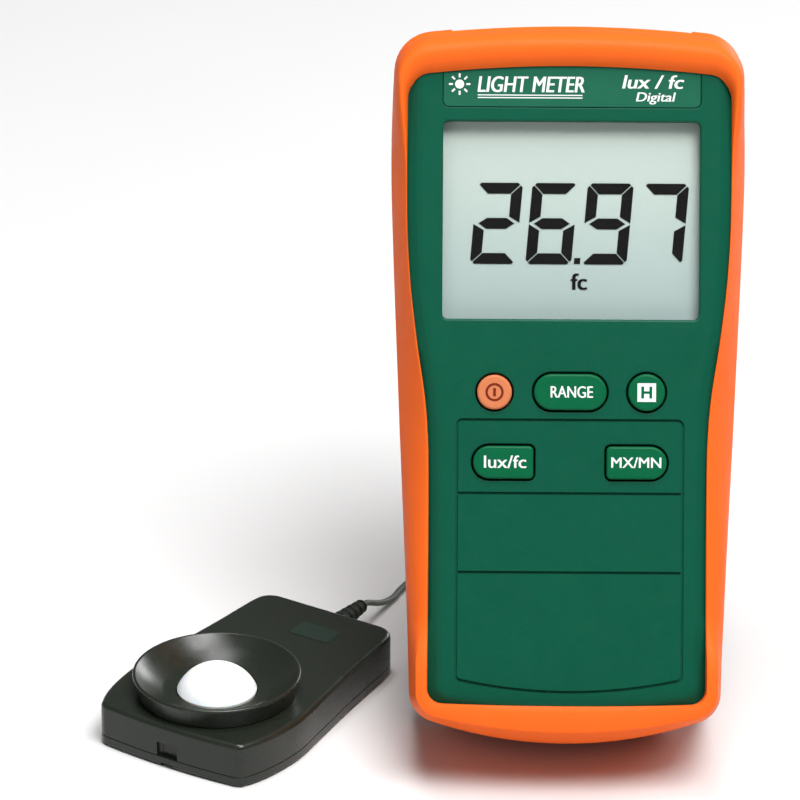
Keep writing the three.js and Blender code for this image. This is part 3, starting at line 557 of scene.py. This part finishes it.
def make_front_shell():
    hollow = loft(
        [
            ring(grown(CASE_PLAN, -WALL), PARTING - 1),
            ring(grown(CASE_PLAN, -WALL), -5.6),
            ring(grown(FACE_PLAN, -2.6), -WALL),
        ]
    )
    window = rounded_rectangle(WINDOW["width"], WINDOW["height"], 1.1, y=WINDOW["y"])
    openings = [flare(lambda grow, o=key_outline(name): o(grow + 0.4), -6, 0, 0.25) for name in KEYS]
    plate = nameplate_outline()
    made = cut(loft(case_rings(0, back=False)), hollow)
    return cut(
        made,
        *openings,
        flare(window, -6, 0, 0.55),
        flare(lambda grow: plate(grow + 0.13), -NAMEPLATE["depth"] - GAP, 0, 0.2),
        groove_tool(GROOVE["depth"]),
    )


def make_key(name):
    shape = key_outline(name)
    stem = cushion(shape, KEY_FOOT, KEY_TOP, 0.55)
    flange = prism(shape(1.1), KEY_FOOT, KEY_FOOT + 1)
    return join(stem, flange)


# ---------------------------------------------------------------- display and legends
DIGIT = dict(width=9.65, height=17.1, stroke=2.3, cut=0.8, slant=0.086)
DIGITS = dict(pitch=11.67, left=-21.2, foot=25.3)
LIT = {"2": "abged", "6": "afgedc", "9": "abcdfg", "7": "abc"}
INK_TOP = GLASS["front"] + 0.12


def segment_shapes():
    """The seven strokes of a digit that isn't slanted, with a thin gap at each mitre."""
    w, h, t, c = DIGIT["width"], DIGIT["height"], DIGIT["stroke"], DIGIT["cut"]
    gap = 0.15
    half, lean = h / 2, 0.28 * t
    foot, shoulder = (t, half + t / 2 + lean / 2), (t, h - t - gap)
    left_upper = [(c / 2, h - c / 2 - gap), (0, h - c - gap), (0, half + gap), foot, shoulder]
    top = [(c + gap, h), (c / 2 + gap, h - c / 2), (t + gap, h - t)]
    top += [(w - x, y) for x, y in reversed(top)]
    tip = 0.45 * t
    middle = [
        (tip, half),
        (tip + 0.75 * t, half - t / 2),
        (w - tip - 0.75 * t, half - t / 2),
        (w - tip, half),
        (w - tip - 0.75 * t, half + t / 2),
        (tip + 0.75 * t, half + t / 2),
    ]

    def across(points):
        return [(w - x, y) for x, y in reversed(points)]

    def down(points):
        return [(x, h - y) for x, y in reversed(points)]

    return dict(
        a=top,
        b=across(left_upper),
        c=down(across(left_upper)),
        d=down(top),
        e=down(left_upper),
        f=left_upper,
        g=middle,
    )


def make_digits(text="26.97"):
    strokes = []
    shapes = segment_shapes()
    x, foot, slant = DIGITS["left"], DIGITS["foot"], DIGIT["slant"]
    low = GLASS["front"] - 0.05
    for mark in text:
        if mark == ".":
            strokes.append([(0.7, foot + 0.1), (2.0, foot + 0.1), (2.1, foot + 1.35), (0.8, foot + 1.35)])
            continue
        for stroke in LIT[mark]:
            strokes.append([(x + px + slant * py, foot + py) for px, py in shapes[stroke]])
        x += DIGITS["pitch"]
    return gathered([prism(stroke, low, INK_TOP) for stroke in strokes])


CAP_SHARE = 0.69  # cap height of the built-in font, as a share of its size


def lettering(text, height, width, x, y, low, high, bold=0.1, shear=0.0):
    """Raised lettering of a cap height and an overall width in mm, centred on x with its foot at y.

    It is made heavier by laying one print beside the other, bold mm away and a hair lower.
    """
    data = bpy.data.curves.new("lettering", "FONT")
    data.body = text
    data.align_x = "CENTER"
    data.size = 1
    data.shear = shear
    data.resolution_u = 4
    data.extrude = 0.5
    writing = bpy.data.objects.new("lettering", data)
    scene.collection.objects.link(writing)
    graph = bpy.context.evaluated_depsgraph_get()
    mesh = bpy.data.meshes.new_from_object(writing.evaluated_get(graph))
    bpy.data.objects.remove(writing)
    made = bpy.data.objects.new("lettering", mesh)
    scene.collection.objects.link(made)
    across = [v.co.x for v in mesh.vertices]
    start, end = min(across), max(across)
    scale = (width - bold) / (end - start)
    size = Matrix.Diagonal((scale, height / CAP_SHARE, high - low, 1))
    middle = x - scale * (start + end) / 2
    mesh.transform(Matrix.Translation((middle - bold / 2, y, (low + high) / 2)) @ size)
    second = bpy.data.objects.new("lettering", mesh.copy())
    scene.collection.objects.link(second)
    second.data.transform(Matrix.Translation((bold, 0, -0.004)))
    return gathered([made, second])


def band(inner, outer, x, y, low, high):
    """A flat ring round an upright axis."""
    return lathe([(inner, low), (outer, low), (outer, high), (inner, high)], 40, (x, y, 0))


def make_legends():
    """The printing on the keys: name -> (piece, the key that it is on)."""
    low, high = KEY_TOP - 0.05, KEY_TOP + 0.03
    px, py = KEYS["power_key"][:2]
    power = [
        band(1.42, 1.92, px, py, low, high),
        block(px - 0.3, px + 0.3, py - 0.85, py + 0.85, low, high),
    ]
    hx, hy = KEYS["hold_key"][:2]
    half, bar, reach = 1.95, 0.3, 1.15
    square = block(hx - half, hx + half, hy - half, hy + half, low, high)
    letter = join(
        block(hx - reach, hx - reach + 2 * bar, hy - 1.25, hy + 1.25, low - 1, high + 1),
        block(hx + reach - 2 * bar, hx + reach, hy - 1.25, hy + 1.25, low - 1, high + 1),
        block(hx - reach, hx + reach, hy - 0.27, hy + 0.27, low - 1, high + 1),
    )
    return {
        "power_key_symbol": (gathered(power), "power_key"),
        "range_key_legend": (lettering("RANGE", 2.4, 8.9, 0.3, -2.75, low, high), "range_key"),
        "hold_key_legend": (cut(square, letter), "hold_key"),
        "unit_key_legend": (lettering("lux/fc", 2.6, 8.9, -13.6, -17.55, low, high), "unit_key"),
        "max_min_key_legend": (lettering("MX/MN", 2.2, 10.5, 13.9, -17.4, low, high), "max_min_key"),
    }


def make_nameplate_print():
    low, high = -0.15, -0.06
    x, y, rays = -23.6, 62.9, 8
    sun = [rod(0.95, x, y, low, high, 40)]
    for i in range(rays):
        a = 2 * math.pi * i / rays
        ray = block(1.4, 2.25, -0.2, 0.2, low, high)
        ray.data.transform(Matrix.Translation((x, y, 0)) @ Matrix.Rotation(a, 4, "Z"))
        sun.append(ray)
    title = lettering("LIGHT METER", 3.3, 22.5, -8.6, 61.3, low, high, 0.2, 0.16)
    rules = [block(-19.8, 2.2, y, y + 0.22, low, high) for y in (60.0, 60.55)]
    units = lettering("lux / fc", 2.8, 13.0, 17.0, 62.2, low, high, 0.2, 0.18)
    kind = lettering("Digital", 1.9, 8.4, 17.6, 59.5, low, high, 0.12, 0.18)
    return gathered([*sun, title, *rules, units, kind])


# ---------------------------------------------------------------- sensor head
SENSOR_SIDE = curve_through(
    [(0, 17.6), (20, 19.1), (36, 20.9), (44, 21.8), (48, 21.8), (54.5, 21.0), (59, 19.8), (62.9, 18.1)]
)


def sensor_outline(grow=0.0):
    """The head's outline, anticlockwise from the middle of its rear edge."""
    corner, half_rear, front = 4.5, 17.75, SENSOR_LENGTH + grow
    reach = corner + grow
    half = [(-grow, -6), (-grow, -11)]
    for i in range(9):
        a = math.pi / 2 * i / 8
        half.append((corner - reach * math.cos(a), -(half_rear - corner + reach * math.sin(a))))
    for i in range(1, 34):
        x = corner + (61.6 - corner) * i / 33
        half.append((x, -SENSOR_SIDE(x) - grow))
    a, c = half[-1], (front, -18.1 - 0.6 * grow)
    b = (front + 0.3, -16.6)
    for i in range(1, 7):
        t = i / 6
        half.append(tuple((1 - t) ** 2 * p + 2 * t * (1 - t) * q + t * t * r for p, q, r in zip(a, c, b)))
    for y in (-12, -8, -4):
        half.append((front + 1.2 - 0.9 * (y / 16.6) ** 2, y))
    whole = [(-grow, 0), *half, (front + 1.2, 0)]
    return whole + [(x, -y) for x, y in reversed(half)]


def sensor_ring(grow, z):
    return [(x, y, z) for x, y in sensor_outline(grow)]


def make_sensor_top():
    edge = 1.2
    rings = [sensor_ring(-0.1, SENSOR_SPLIT + 0.03), sensor_ring(0, SENSOR_SPLIT + 0.15)]
    for i in range(7):
        a = math.pi / 2 * i / 6
        rings.append(sensor_ring(-edge * (1 - math.cos(a)), SENSOR_HEIGHT - edge * (1 - math.sin(a))))
    hollow = loft([sensor_ring(-1.8, 0), sensor_ring(-1.8, SENSOR_HEIGHT - 1.6)])
    lead = rod(2.7, 0, 0, -6, 3)
    lead.data.transform(Matrix.Translation((0, 0, CORD_AT)) @ Matrix.Rotation(math.pi / 2, 4, "Y"))
    lug = rounded_rectangle(5.6, 5.2, 0.8, LUG_AT)
    return cut(loft(rings), hollow, rod(13.3, CUP_AT, 0, 6, 12, 96), lead, prism(lug(), 0, 5.6))


def make_sensor_base():
    edge = 0.7
    rings = []
    for i in range(5):
        a = math.pi / 2 * i / 4
        rings.append(sensor_ring(-edge * (1 - math.sin(a)), edge * (1 - math.cos(a))))
    rings += [sensor_ring(0, SENSOR_SPLIT - 0.12), sensor_ring(-0.1, SENSOR_SPLIT)]
    holes = [rod(2.4, 14, y, -1, 2) for y in (12, -12)]
    lug = rounded_rectangle(5.6, 3.2, 0.6, LUG_AT)
    return cut(loft(rings), *holes, prism(lug(), -1, 0.8))


def make_light_cup():
    top = SENSOR_HEIGHT + 0.1
    profile = [(4.6, 7.2), (13, 7.2), (13, top), (16.7, top)]
    profile += [(17.0, top + 0.15), (17.3, 11.4), (17.75, 13.2)]
    for i in range(9):
        a = math.pi * (-0.05 + 0.9 * i / 8)
        profile.append((17.7 + 0.45 * math.cos(a), 14.3 + 0.45 * math.sin(a)))
    profile += [(15.7, 13.0), (13.5, 11.6), (12.0, 10.75), (11.3, 10.42), (10.6, 10.3)]
    profile += [(8.9, 10.3), (8.8, 10.2), (8.8, 9.4), (6, 9.4), (6, 8), (4.6, 8)]
    return lathe(profile, 128, (CUP_AT, 0, 0))


def make_dome():
    radius, rise, base = 8.6, 5.5, 10.6
    sphere = (radius**2 + rise**2) / (2 * rise)
    span = math.asin(radius / sphere)
    profile = [(0, 9.7), (radius - 0.3, 9.7), (radius - 0.1, 9.9)]
    for i in range(19):
        a = span * (1 - i / 18)
        profile.append((sphere * math.sin(a), base + rise - sphere + sphere * math.cos(a)))
    return lathe(profile, 96, (CUP_AT, 0, 0))


def ribbed_sleeve(root, tip, length, ribs):
    """A tapering sleeve up z with rounded ribs round it, from z = 0."""
    profile = [(0, 0), (root, 0)]
    pitch = (length - 1.6) / ribs
    for i in range(ribs):
        radius = root + (tip - root) * (i + 0.5) / ribs
        start = 1 + pitch * i
        for share, drop in ((0, 0.12), (0.08, 0), (0.5, 0), (0.58, 0.12), (0.62, 0.42), (0.96, 0.42)):
            profile.append((radius - drop, start + pitch * share))
    profile += [(tip - 0.05, length - 0.5), (tip - 0.3, length), (0, length)]
    return lathe(profile, 40)


def make_sensor_relief():
    sleeve = ribbed_sleeve(2.6, 1.6, 14.6, 6)
    place = Matrix.Translation((0, 0, CORD_AT)) @ Matrix.Rotation(-math.pi / 2, 4, "Y")
    sleeve.data.transform(place @ Matrix.Translation((0, 0, -1.6)))
    return sleeve


def make_lead_gland():
    sleeve = ribbed_sleeve(2, 1.2, 8.3, 4)
    collar = lathe([(0, -0.3), (2.6, -0.3), (2.8, -0.1), (2.8, 0.5), (2.5, 0.8), (0, 0.8)], 48)
    made = join(sleeve, collar)
    place = Matrix.Translation((0, GLAND_Y, CASE_BACK - 0.6))
    made.data.transform(place @ Matrix.Rotation(math.pi, 4, "X"))
    return made


# ---------------------------------------------------------------- cable
# The middle of the cable from the sensor head to its coil, and from the coil to the gland on the back,
# with the instrument's middle at 0, 0.
RUN_ROUTE = [
    (-43.7, 45.0, 5.3), (-42.9, 46.3, 5.1), (-41.8, 48.3, 4.1), (-40.3, 51.1, 2.6), (-38.7, 54.2, 1.4),
    (-36.9, 57.6, 0.75), (-35.3, 61.7, 0.7), (-32.8, 66.0, 0.7), (-28.2, 69.2, 0.7), (-22.4, 70.7, 0.7),
    (-16.0, 70.8, 0.7), (-10.0, 70.2, 0.7), (-4.0, 69.6, 0.7), (2.2, 69.4, 0.7),
]
DROP_ROUTE = [
    (-2.1, 74.0, 4.9), (-2.1, 72.1, 5.5), (-2.1, 70.4, 7.0), (-2.0, 69.4, 9.4), (-1.9, 69.2, 13.0),
    (-1.6, 69.9, 25.0), (-1.2, 71.0, 45.0), (-0.8, 71.6, 65.0), (-0.5, 71.8, 85.0), (-0.2, 71.6, 101.0),
    (-0.1, 71.0, 111.0), (-0.1, 69.9, 117.3), (0, 68.0, 121.2), (0, 66.0, 123.0), (0, 64.1, 123.95),
]
COIL = dict(x=8.4, y=80, outer=10.5, inner=6.3, turns=3, layers=4, per_turn=24)


def coil_route():
    """Turns side by side in layers, each wound in or out, with one turn's climb between layers."""
    x, y, per_turn = COIL["x"], COIL["y"], COIL["per_turn"]
    angle, z = -math.pi / 2, CORD / 2
    points = []

    def wind(turns, r0, r1, rise):
        nonlocal angle, z
        count = round(turns * per_turn)
        for i in range(count):
            t = i / count
            a = angle + 2 * math.pi * turns * t
            r = r0 + (r1 - r0) * t
            points.append((x + r * math.cos(a), y + r * math.sin(a), z + rise * t))
        angle += 2 * math.pi * turns
        z += rise

    near, far = COIL["outer"], COIL["inner"]
    for layer in range(COIL["layers"]):
        last = layer == COIL["layers"] - 1
        turns = COIL["turns"] - 0.25 if last else COIL["turns"]
        wind(turns, near, near + (far - near) * turns / COIL["turns"], 0)
        if not last:
            wind(1, far, far, CORD)
        near, far = far, near
    return points


def make_cord():
    route = section_curve(RUN_ROUTE, 4) + coil_route() + section_curve(DROP_ROUTE, 4)
    path = [Vector(p) + Vector((*MIDDLE, 0)) for p in route]
    sides, rings = 14, []
    normal = Vector((0, 0, 1))
    for i, point in enumerate(path):
        along = (path[min(i + 1, len(path) - 1)] - path[max(i - 1, 0)]).normalized()
        normal = (normal - along * normal.dot(along)).normalized()
        across = along.cross(normal)
        angles = [2 * math.pi * k / sides for k in range(sides)]
        rings.append([point + CORD / 2 * (math.cos(a) * normal + math.sin(a) * across) for a in angles])
    tube = loft(rings)
    return tube, [point * MM for point in path]


# ---------------------------------------------------------------- materials
UP_FACE = (0, math.sin(LEAN), math.cos(LEAN))


def srgb(red, green, blue):
    """A linear colour from an sRGB one in 0..255."""

    def linear(value):
        c = value / 255
        return c / 12.92 if c <= 0.04045 else ((c + 0.055) / 1.055) ** 2.4

    return (linear(red), linear(green), linear(blue), 1)


def tinted(colour, factor):
    return tuple(min(c * factor, 1) for c in colour[:3]) + (1,)


class Finish:
    """A node material under construction, on a Principled shader; its patterns are in object metres."""

    def __init__(self, name, **sockets):
        self.material = bpy.data.materials.new(name)
        self.material.use_nodes = True
        self.tree = self.material.node_tree
        self.shader = self.tree.nodes["Principled BSDF"]
        self.place = self.add("ShaderNodeTexCoord").outputs["Object"]
        self.normal = None
        for socket, value in sockets.items():
            self.shader.inputs[socket.replace("_", " ")].default_value = value

    def add(self, kind, **inputs):
        node = self.tree.nodes.new(kind)
        for socket, value in inputs.items():
            self.feed(node.inputs[socket], value)
        return node

    def feed(self, socket, value):
        if isinstance(value, bpy.types.NodeSocket):
            self.tree.links.new(value, socket)
        else:
            socket.default_value = value

    def noise(self, size, detail=2.0, roughness=0.5):
        """A noise pattern with features about as large as size, in mm."""
        node = self.add("ShaderNodeTexNoise", Vector=self.place, Scale=1 / (size * MM))
        node.inputs["Detail"].default_value = detail
        node.inputs["Roughness"].default_value = roughness
        return node.outputs["Fac"]

    def spread(self, value, low, high, start=0.3, end=0.7):
        node = self.add("ShaderNodeMapRange", Value=value)
        for socket, number in (("From Min", start), ("From Max", end), ("To Min", low), ("To Max", high)):
            node.inputs[socket].default_value = number
        return node.outputs["Result"]

    def blend(self, share, first, second):
        node = self.add("ShaderNodeMix")
        node.data_type = "RGBA"
        self.feed(node.inputs[0], share)
        self.feed(node.inputs[6], first)
        self.feed(node.inputs[7], second)
        return node.outputs[2]

    def colour(self, value):
        self.feed(self.shader.inputs["Base Color"], value)

    def roughness(self, value):
        self.feed(self.shader.inputs["Roughness"], value)

    def bump(self, height, depth):
        """Raises the surface by up to depth, in mm, over any bump that it has already."""
        node = self.add("ShaderNodeBump", Height=height, Distance=depth * MM)
        node.inputs["Strength"].default_value = 1
        if self.normal is not None:
            self.tree.links.new(self.normal, node.inputs["Normal"])
        self.normal = node.outputs["Normal"]
        self.tree.links.new(self.normal, self.shader.inputs["Normal"])

    def along(self, direction, low, high):
        """0 to 1 along a direction, between two distances from the origin in metres."""
        node = self.add("ShaderNodeVectorMath")
        node.operation = "DOT_PRODUCT"
        self.tree.links.new(self.place, node.inputs[0])
        node.inputs[1].default_value = direction
        return self.spread(node.outputs["Value"], 0, 1, low, high)


def moulded(name, colour, roughness, grain=(0.35, 0.012), mottle=0.03, **sockets):
    """Moulded plastic or rubber: a fine spark-eroded grain, faintly cloudy colour and uneven gloss."""
    finish = Finish(name, **{"Specular_IOR_Level": 0.1, **sockets})
    cloud = finish.spread(finish.noise(9, 3), 0, 1)
    body = finish.blend(cloud, tinted(colour, 1 - mottle), tinted(colour, 1 + mottle))
    speck = finish.spread(finish.noise(0.5, 2, 0.6), 0, mottle * 2, 0.45, 0.75)
    finish.colour(finish.blend(speck, body, tinted(colour, 1.4)))
    finish.roughness(finish.spread(finish.noise(3.5, 4, 0.6), roughness - 0.05, roughness + 0.05))
    finish.bump(finish.noise(grain[0], 3, 0.6), grain[1])
    finish.bump(finish.noise(14, 2), 0.02)
    return finish.material


def machined(name, colour, roughness):
    """Plated or turned metal: a fine scratched grain with a little tarnish."""
    finish = Finish(name, Metallic=1.0)
    tarnish = finish.spread(finish.noise(2.5, 4, 0.6), 0, 0.55)
    finish.colour(finish.blend(tarnish, colour, tinted(colour, 0.6)))
    finish.roughness(finish.spread(finish.noise(1.2, 4, 0.7), roughness - 0.08, roughness + 0.12))
    finish.bump(finish.noise(0.12, 4, 0.7), 0.006)
    return finish.material


def display_glass():
    """Liquid crystal, with painted shade: paler at the top, darker and bluer at the foot, with the faint
    grain of its reflector.
    """
    finish = Finish("display", Specular_IOR_Level=0.1)
    middle = Vector((*MIDDLE, FACE_HEIGHT)) * MM
    level = middle.dot(Vector(UP_FACE))
    # Painted shade: the panel's colour runs from a lighter tone at the top to a darker, bluer one at the
    # foot.
    height = finish.along(UP_FACE, level + 0.013, level + 0.055)
    fall = finish.blend(height, srgb(157, 175, 173), srgb(193, 206, 198))
    grain = finish.spread(finish.noise(0.3, 3, 0.7), 0, 0.25)
    finish.colour(finish.blend(grain, fall, srgb(156, 170, 165)))
    finish.roughness(finish.spread(finish.noise(0.6, 2), 0.42, 0.55))
    finish.bump(finish.noise(0.2, 3, 0.7), 0.002)
    return finish.material


def clear_pane():
    """A clear acrylic window with a hair of dust on it."""
    finish = Finish("clear_window", Alpha=0.02, IOR=1.49, Specular_IOR_Level=0.1)
    dust = finish.spread(finish.noise(6, 4), 0, 1)
    finish.colour(finish.blend(dust, srgb(40, 44, 42), srgb(60, 64, 62)))
    finish.roughness(finish.spread(finish.noise(4, 4), 0.04, 0.12))
    finish.bump(finish.noise(20, 2), 0.01)
    return finish.material


def circuit_board():
    """Solder mask over tracks that show as slightly raised, lighter lines, with plated holes."""
    finish = Finish("board_green", Coat_Weight=0.3)
    track = finish.add("ShaderNodeTexVoronoi", Vector=finish.place, Scale=420)
    track.feature = "DISTANCE_TO_EDGE"
    line = finish.spread(track.outputs["Distance"], 1, 0, 0.05, 0.09)
    body = finish.blend(line, srgb(22, 92, 48), srgb(52, 128, 70))
    hole = finish.add("ShaderNodeTexVoronoi", Vector=finish.place, Scale=260)
    pad = finish.spread(hole.outputs["Distance"], 1, 0, 0.1, 0.14)
    finish.colour(finish.blend(pad, body, srgb(196, 190, 168)))
    finish.roughness(finish.spread(finish.noise(1.5), 0.3, 0.45))
    finish.bump(line, 0.03)
    return finish.material


def cell_sleeve():
    """A printed battery sleeve: silver with a dark band, and scuffs."""
    finish = Finish("cell_sleeve", Metallic=0.7)
    level = Vector((*MIDDLE, FACE_HEIGHT)).dot(Vector(UP_FACE)) * MM
    band_edge = finish.along(UP_FACE, level + 0.0345, level + 0.0349)
    scuff = finish.spread(finish.noise(1.5, 4, 0.6), 0, 0.6)
    silver = finish.blend(scuff, srgb(190, 193, 198), srgb(150, 152, 158))
    dark = finish.blend(scuff, srgb(28, 34, 48), srgb(48, 54, 66))
    finish.colour(finish.blend(band_edge, silver, dark))
    finish.roughness(finish.spread(finish.noise(2.5, 3), 0.28, 0.45))
    finish.bump(finish.noise(0.8, 4), 0.008)
    return finish.material


def opal_dome():
    """Opal diffuser plastic that lets light in under its surface."""
    finish = Finish("diffuser_white", Subsurface_Weight=0.35, Subsurface_Scale=0.004)
    cloud = finish.spread(finish.noise(5, 3), 0, 1)
    finish.colour(finish.blend(cloud, srgb(246, 250, 250), srgb(252, 253, 253)))
    finish.roughness(finish.spread(finish.noise(2, 3), 0.38, 0.5))
    finish.bump(finish.noise(0.4, 3), 0.004)
    return finish.material


def make_materials():
    green, orange, black = srgb(9, 78, 58), srgb(236, 100, 31), srgb(30, 35, 28)
    return {
        "holster_rubber": moulded("holster_rubber", orange, 0.5, (0.5, 0.008), 0.015),
        "case_green": moulded("case_green", green, 0.36, (0.4, 0.03), Specular_IOR_Level=0.14),
        "nameplate_green": moulded("nameplate_green", srgb(28, 92, 70), 0.4, (0.4, 0.006)),
        "clear_window": clear_pane(),
        "display": display_glass(),
        "carrier_white": moulded("carrier_white", srgb(196, 198, 192), 0.5),
        "zebra_rubber": moulded("zebra_rubber", srgb(96, 88, 92), 0.8, (0.2, 0.03)),
        "silicone": moulded("silicone", srgb(188, 192, 190), 0.6, (0.6, 0.01), Subsurface_Weight=0.1),
        "key_green": moulded("key_green", srgb(8, 91, 57), 0.35, (0.3, 0.006)),
        "key_orange": moulded("key_orange", srgb(198, 117, 78), 0.4, (0.3, 0.006)),
        "board_green": circuit_board(),
        "chip_black": moulded("chip_black", srgb(28, 28, 30), 0.45, (0.15, 0.02)),
        "cell_sleeve": cell_sleeve(),
        "contact_nickel": machined("contact_nickel", srgb(205, 207, 212), 0.25),
        "screw_steel": machined("screw_steel", srgb(158, 160, 165), 0.32),
        "brass": machined("brass", srgb(205, 168, 88), 0.3),
        "stand_plastic": moulded("stand_plastic", black, 0.5, (0.45, 0.03), 0.05),
        "sensor_plastic": moulded("sensor_plastic", black, 0.3, (0.5, 0.004), Specular_IOR_Level=0.4),
        "label": moulded("label", srgb(38, 50, 44), 0.4, (0.3, 0.004)),
        "diffuser_white": opal_dome(),
        "filter_glass": moulded("filter_glass", srgb(96, 150, 122), 0.08, Transmission_Weight=0.7),
        "cable_grey": moulded("cable_grey", srgb(98, 102, 96), 0.42, (0.5, 0.012)),
        "relief_black": moulded("relief_black", srgb(44, 48, 42), 0.45, (0.3, 0.01)),
        "white_ink": moulded("white_ink", srgb(225, 229, 227), 0.5, (0.2, 0.006), 0.01),
        "display_ink": moulded("display_ink", srgb(14, 13, 13), 0.6, (0.4, 0.004)),
        "brown_ink": moulded("brown_ink", srgb(112, 38, 22), 0.5, (0.2, 0.006)),
    }


MATERIALS = make_materials()


# ---------------------------------------------------------------- the object
def build_instrument():
    def add(made, name, slot, **more):
        return finished(made, name, slot, more.pop("body", "root"), INSTRUMENT, **more)

    add(make_holster(), "rubber_holster", "holster_rubber", replaces=["holster"], angle=35)
    add(make_front_shell(), "front_case", "case_green", replaces=["front_shell"], angle=35)
    plate = cushion(nameplate_outline(), -NAMEPLATE["depth"], -0.1, 0.15, 3)
    add(plate, "nameplate_panel", "nameplate_green", replaces=["nameplate"])
    add(make_nameplate_print(), "nameplate_print", "nameplate_green", look="white_ink")

    pane = rounded_rectangle(LENS["width"], LENS["height"], 1.5, y=WINDOW["y"])
    pane = cushion(pane, LENS["back"], LENS["front"], 0.2, 3)
    add(pane, "window_pane", "clear_window", replaces=["display_window"])
    glass = rounded_rectangle(GLASS["width"], GLASS["height"], 0.6, y=WINDOW["y"])
    glass = cushion(glass, GLASS["back"], GLASS["front"], 0.1, 2)
    add(glass, "display_panel", "display", replaces=["lcd_glass"])
    add(make_digits(), "display_digits", "display", look="display_ink")
    unit = lettering("fc", 3.4, 3.5, 1.8, 20.0, GLASS["front"] - 0.05, INK_TOP, 0.3)
    add(unit, "display_unit", "display", look="display_ink")

    for name in KEYS:
        slot = "key_orange" if name == "power_key" else "key_green"
        add(make_key(name), name + "_cap", slot, body=name, replaces=[name])
    for name, (legend, key) in make_legends().items():
        orange = key == "power_key"
        look = "brown_ink" if orange else "white_ink"
        add(legend, name, "key_orange" if orange else "key_green", body=key, look=look)
    add(make_lead_gland(), "lead_gland_sleeve", "cable_grey", replaces=["lead_gland"])


REFINED = {  # node: (edge radius in mm, slot, body)
    "rear_shell": (0.35, "case_green", "root"),
    "battery_cover": (0.3, "case_green", "battery_cover"),
    "tilt_stand": (0.45, "stand_plastic", "tilt_stand"),
    "tripod_insert": (0.2, "brass", "root"),
    "cable_tie": (0.25, "relief_black", "root"),
}


def refine_nodes():
    """Rounds the edges of the CAD nodes that show behind and below."""
    for node, (width, slot, body) in REFINED.items():
        finished(refined(node, width), node + "_detailed", slot, body, replaces=[node])


def build_sensor():
    def add(made, name, slot, node):
        return finished(made, name, slot, "sensor_head", SENSOR, [node])

    add(make_sensor_top(), "sensor_top", "sensor_plastic", "sensor_top_case")
    add(make_sensor_base(), "sensor_base", "sensor_plastic", "sensor_base_case")
    add(make_light_cup(), "light_cup_ring", "sensor_plastic", "light_cup")
    add(make_dome(), "diffuser", "diffuser_white", "diffuser_dome")
    add(make_sensor_relief(), "sensor_relief", "relief_black", "sensor_strain_relief")
    label = rounded_rectangle(6, 10, 0.8, 11, 3)
    label = cushion(label, SENSOR_HEIGHT - 0.05, SENSOR_HEIGHT + 0.12, 0.1, 2)
    add(label, "sensor_tag", "label", "sensor_label")


def build_cord():
    tube, path = make_cord()
    solids = ["cord_run", "cord_coil", "cord_drop"]
    finished(tube, "sensor_cable", "cable_grey", None, Matrix.Identity(4), solids)
    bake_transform(tube)


def dress_nodes():
    """Gives every CAD node that still shows its own node material."""
    slots = {part["node"]: part["material_slot"] for part in frame["record"]["subparts"]}
    for name, node in frame["nodes"].items():
        node.data.materials.clear()
        node.data.materials.append(MATERIALS[slots[name]])


# ---------------------------------------------------------------- stage
FLOOR_DROP = 0.0002  # metres, so that the floor doesn't meet the flats that stand on it


def make_floor():
    half = 3
    floor = solid([(-half, -half, 0), (half, -half, 0), (half, half, 0), (-half, half, 0)], [(0, 1, 2, 3)])
    floor.name = "floor"
    floor.location.z = -FLOOR_DROP
    finish = Finish("floor", Specular_IOR_Level=0.2)
    finish.colour(finish.blend(finish.noise(300, 2), srgb(216, 216, 216), srgb(220, 220, 220)))
    finish.roughness(finish.spread(finish.noise(50, 2), 0.7, 0.8))
    floor.data.materials.append(finish.material)


AIM = Vector((0, 0, 0.07))  # what every light points at, in metres


def make_light(name, place, size, power):
    data = bpy.data.lights.new(name, "AREA")
    data.shape = "RECTANGLE"
    data.size, data.size_y = size
    data.energy = power
    light = bpy.data.objects.new(name, data)
    light.location = place
    light.rotation_euler = (AIM - Vector(place)).to_track_quat("-Z", "Y").to_euler()
    scene.collection.objects.link(light)


def make_lights():
    world = bpy.data.worlds.new("studio")
    world.use_nodes = True
    world.node_tree.nodes["Background"].inputs["Color"].default_value = (1, 1, 1, 1)
    world.node_tree.nodes["Background"].inputs["Strength"].default_value = 0.15
    scene.world = world
    make_light("key", (0.32, -0.52, 1.32), (0.7, 0.7), 25)
    make_light("strip", (-0.72, -0.88, 0.5), (0.06, 0.9), 0.8)
    make_light("overhead", (-0.1, 0.05, 1.4), (0.45, 0.45), 8)
    make_light("back", (0.9, 1.05, 0.4), (0.7, 0.35), 8)


make_camera()
refine_nodes()
build_cord()
build_instrument()
build_sensor()
dress_nodes()
make_floor()
make_lights()
scene.view_settings.view_transform = "Standard"
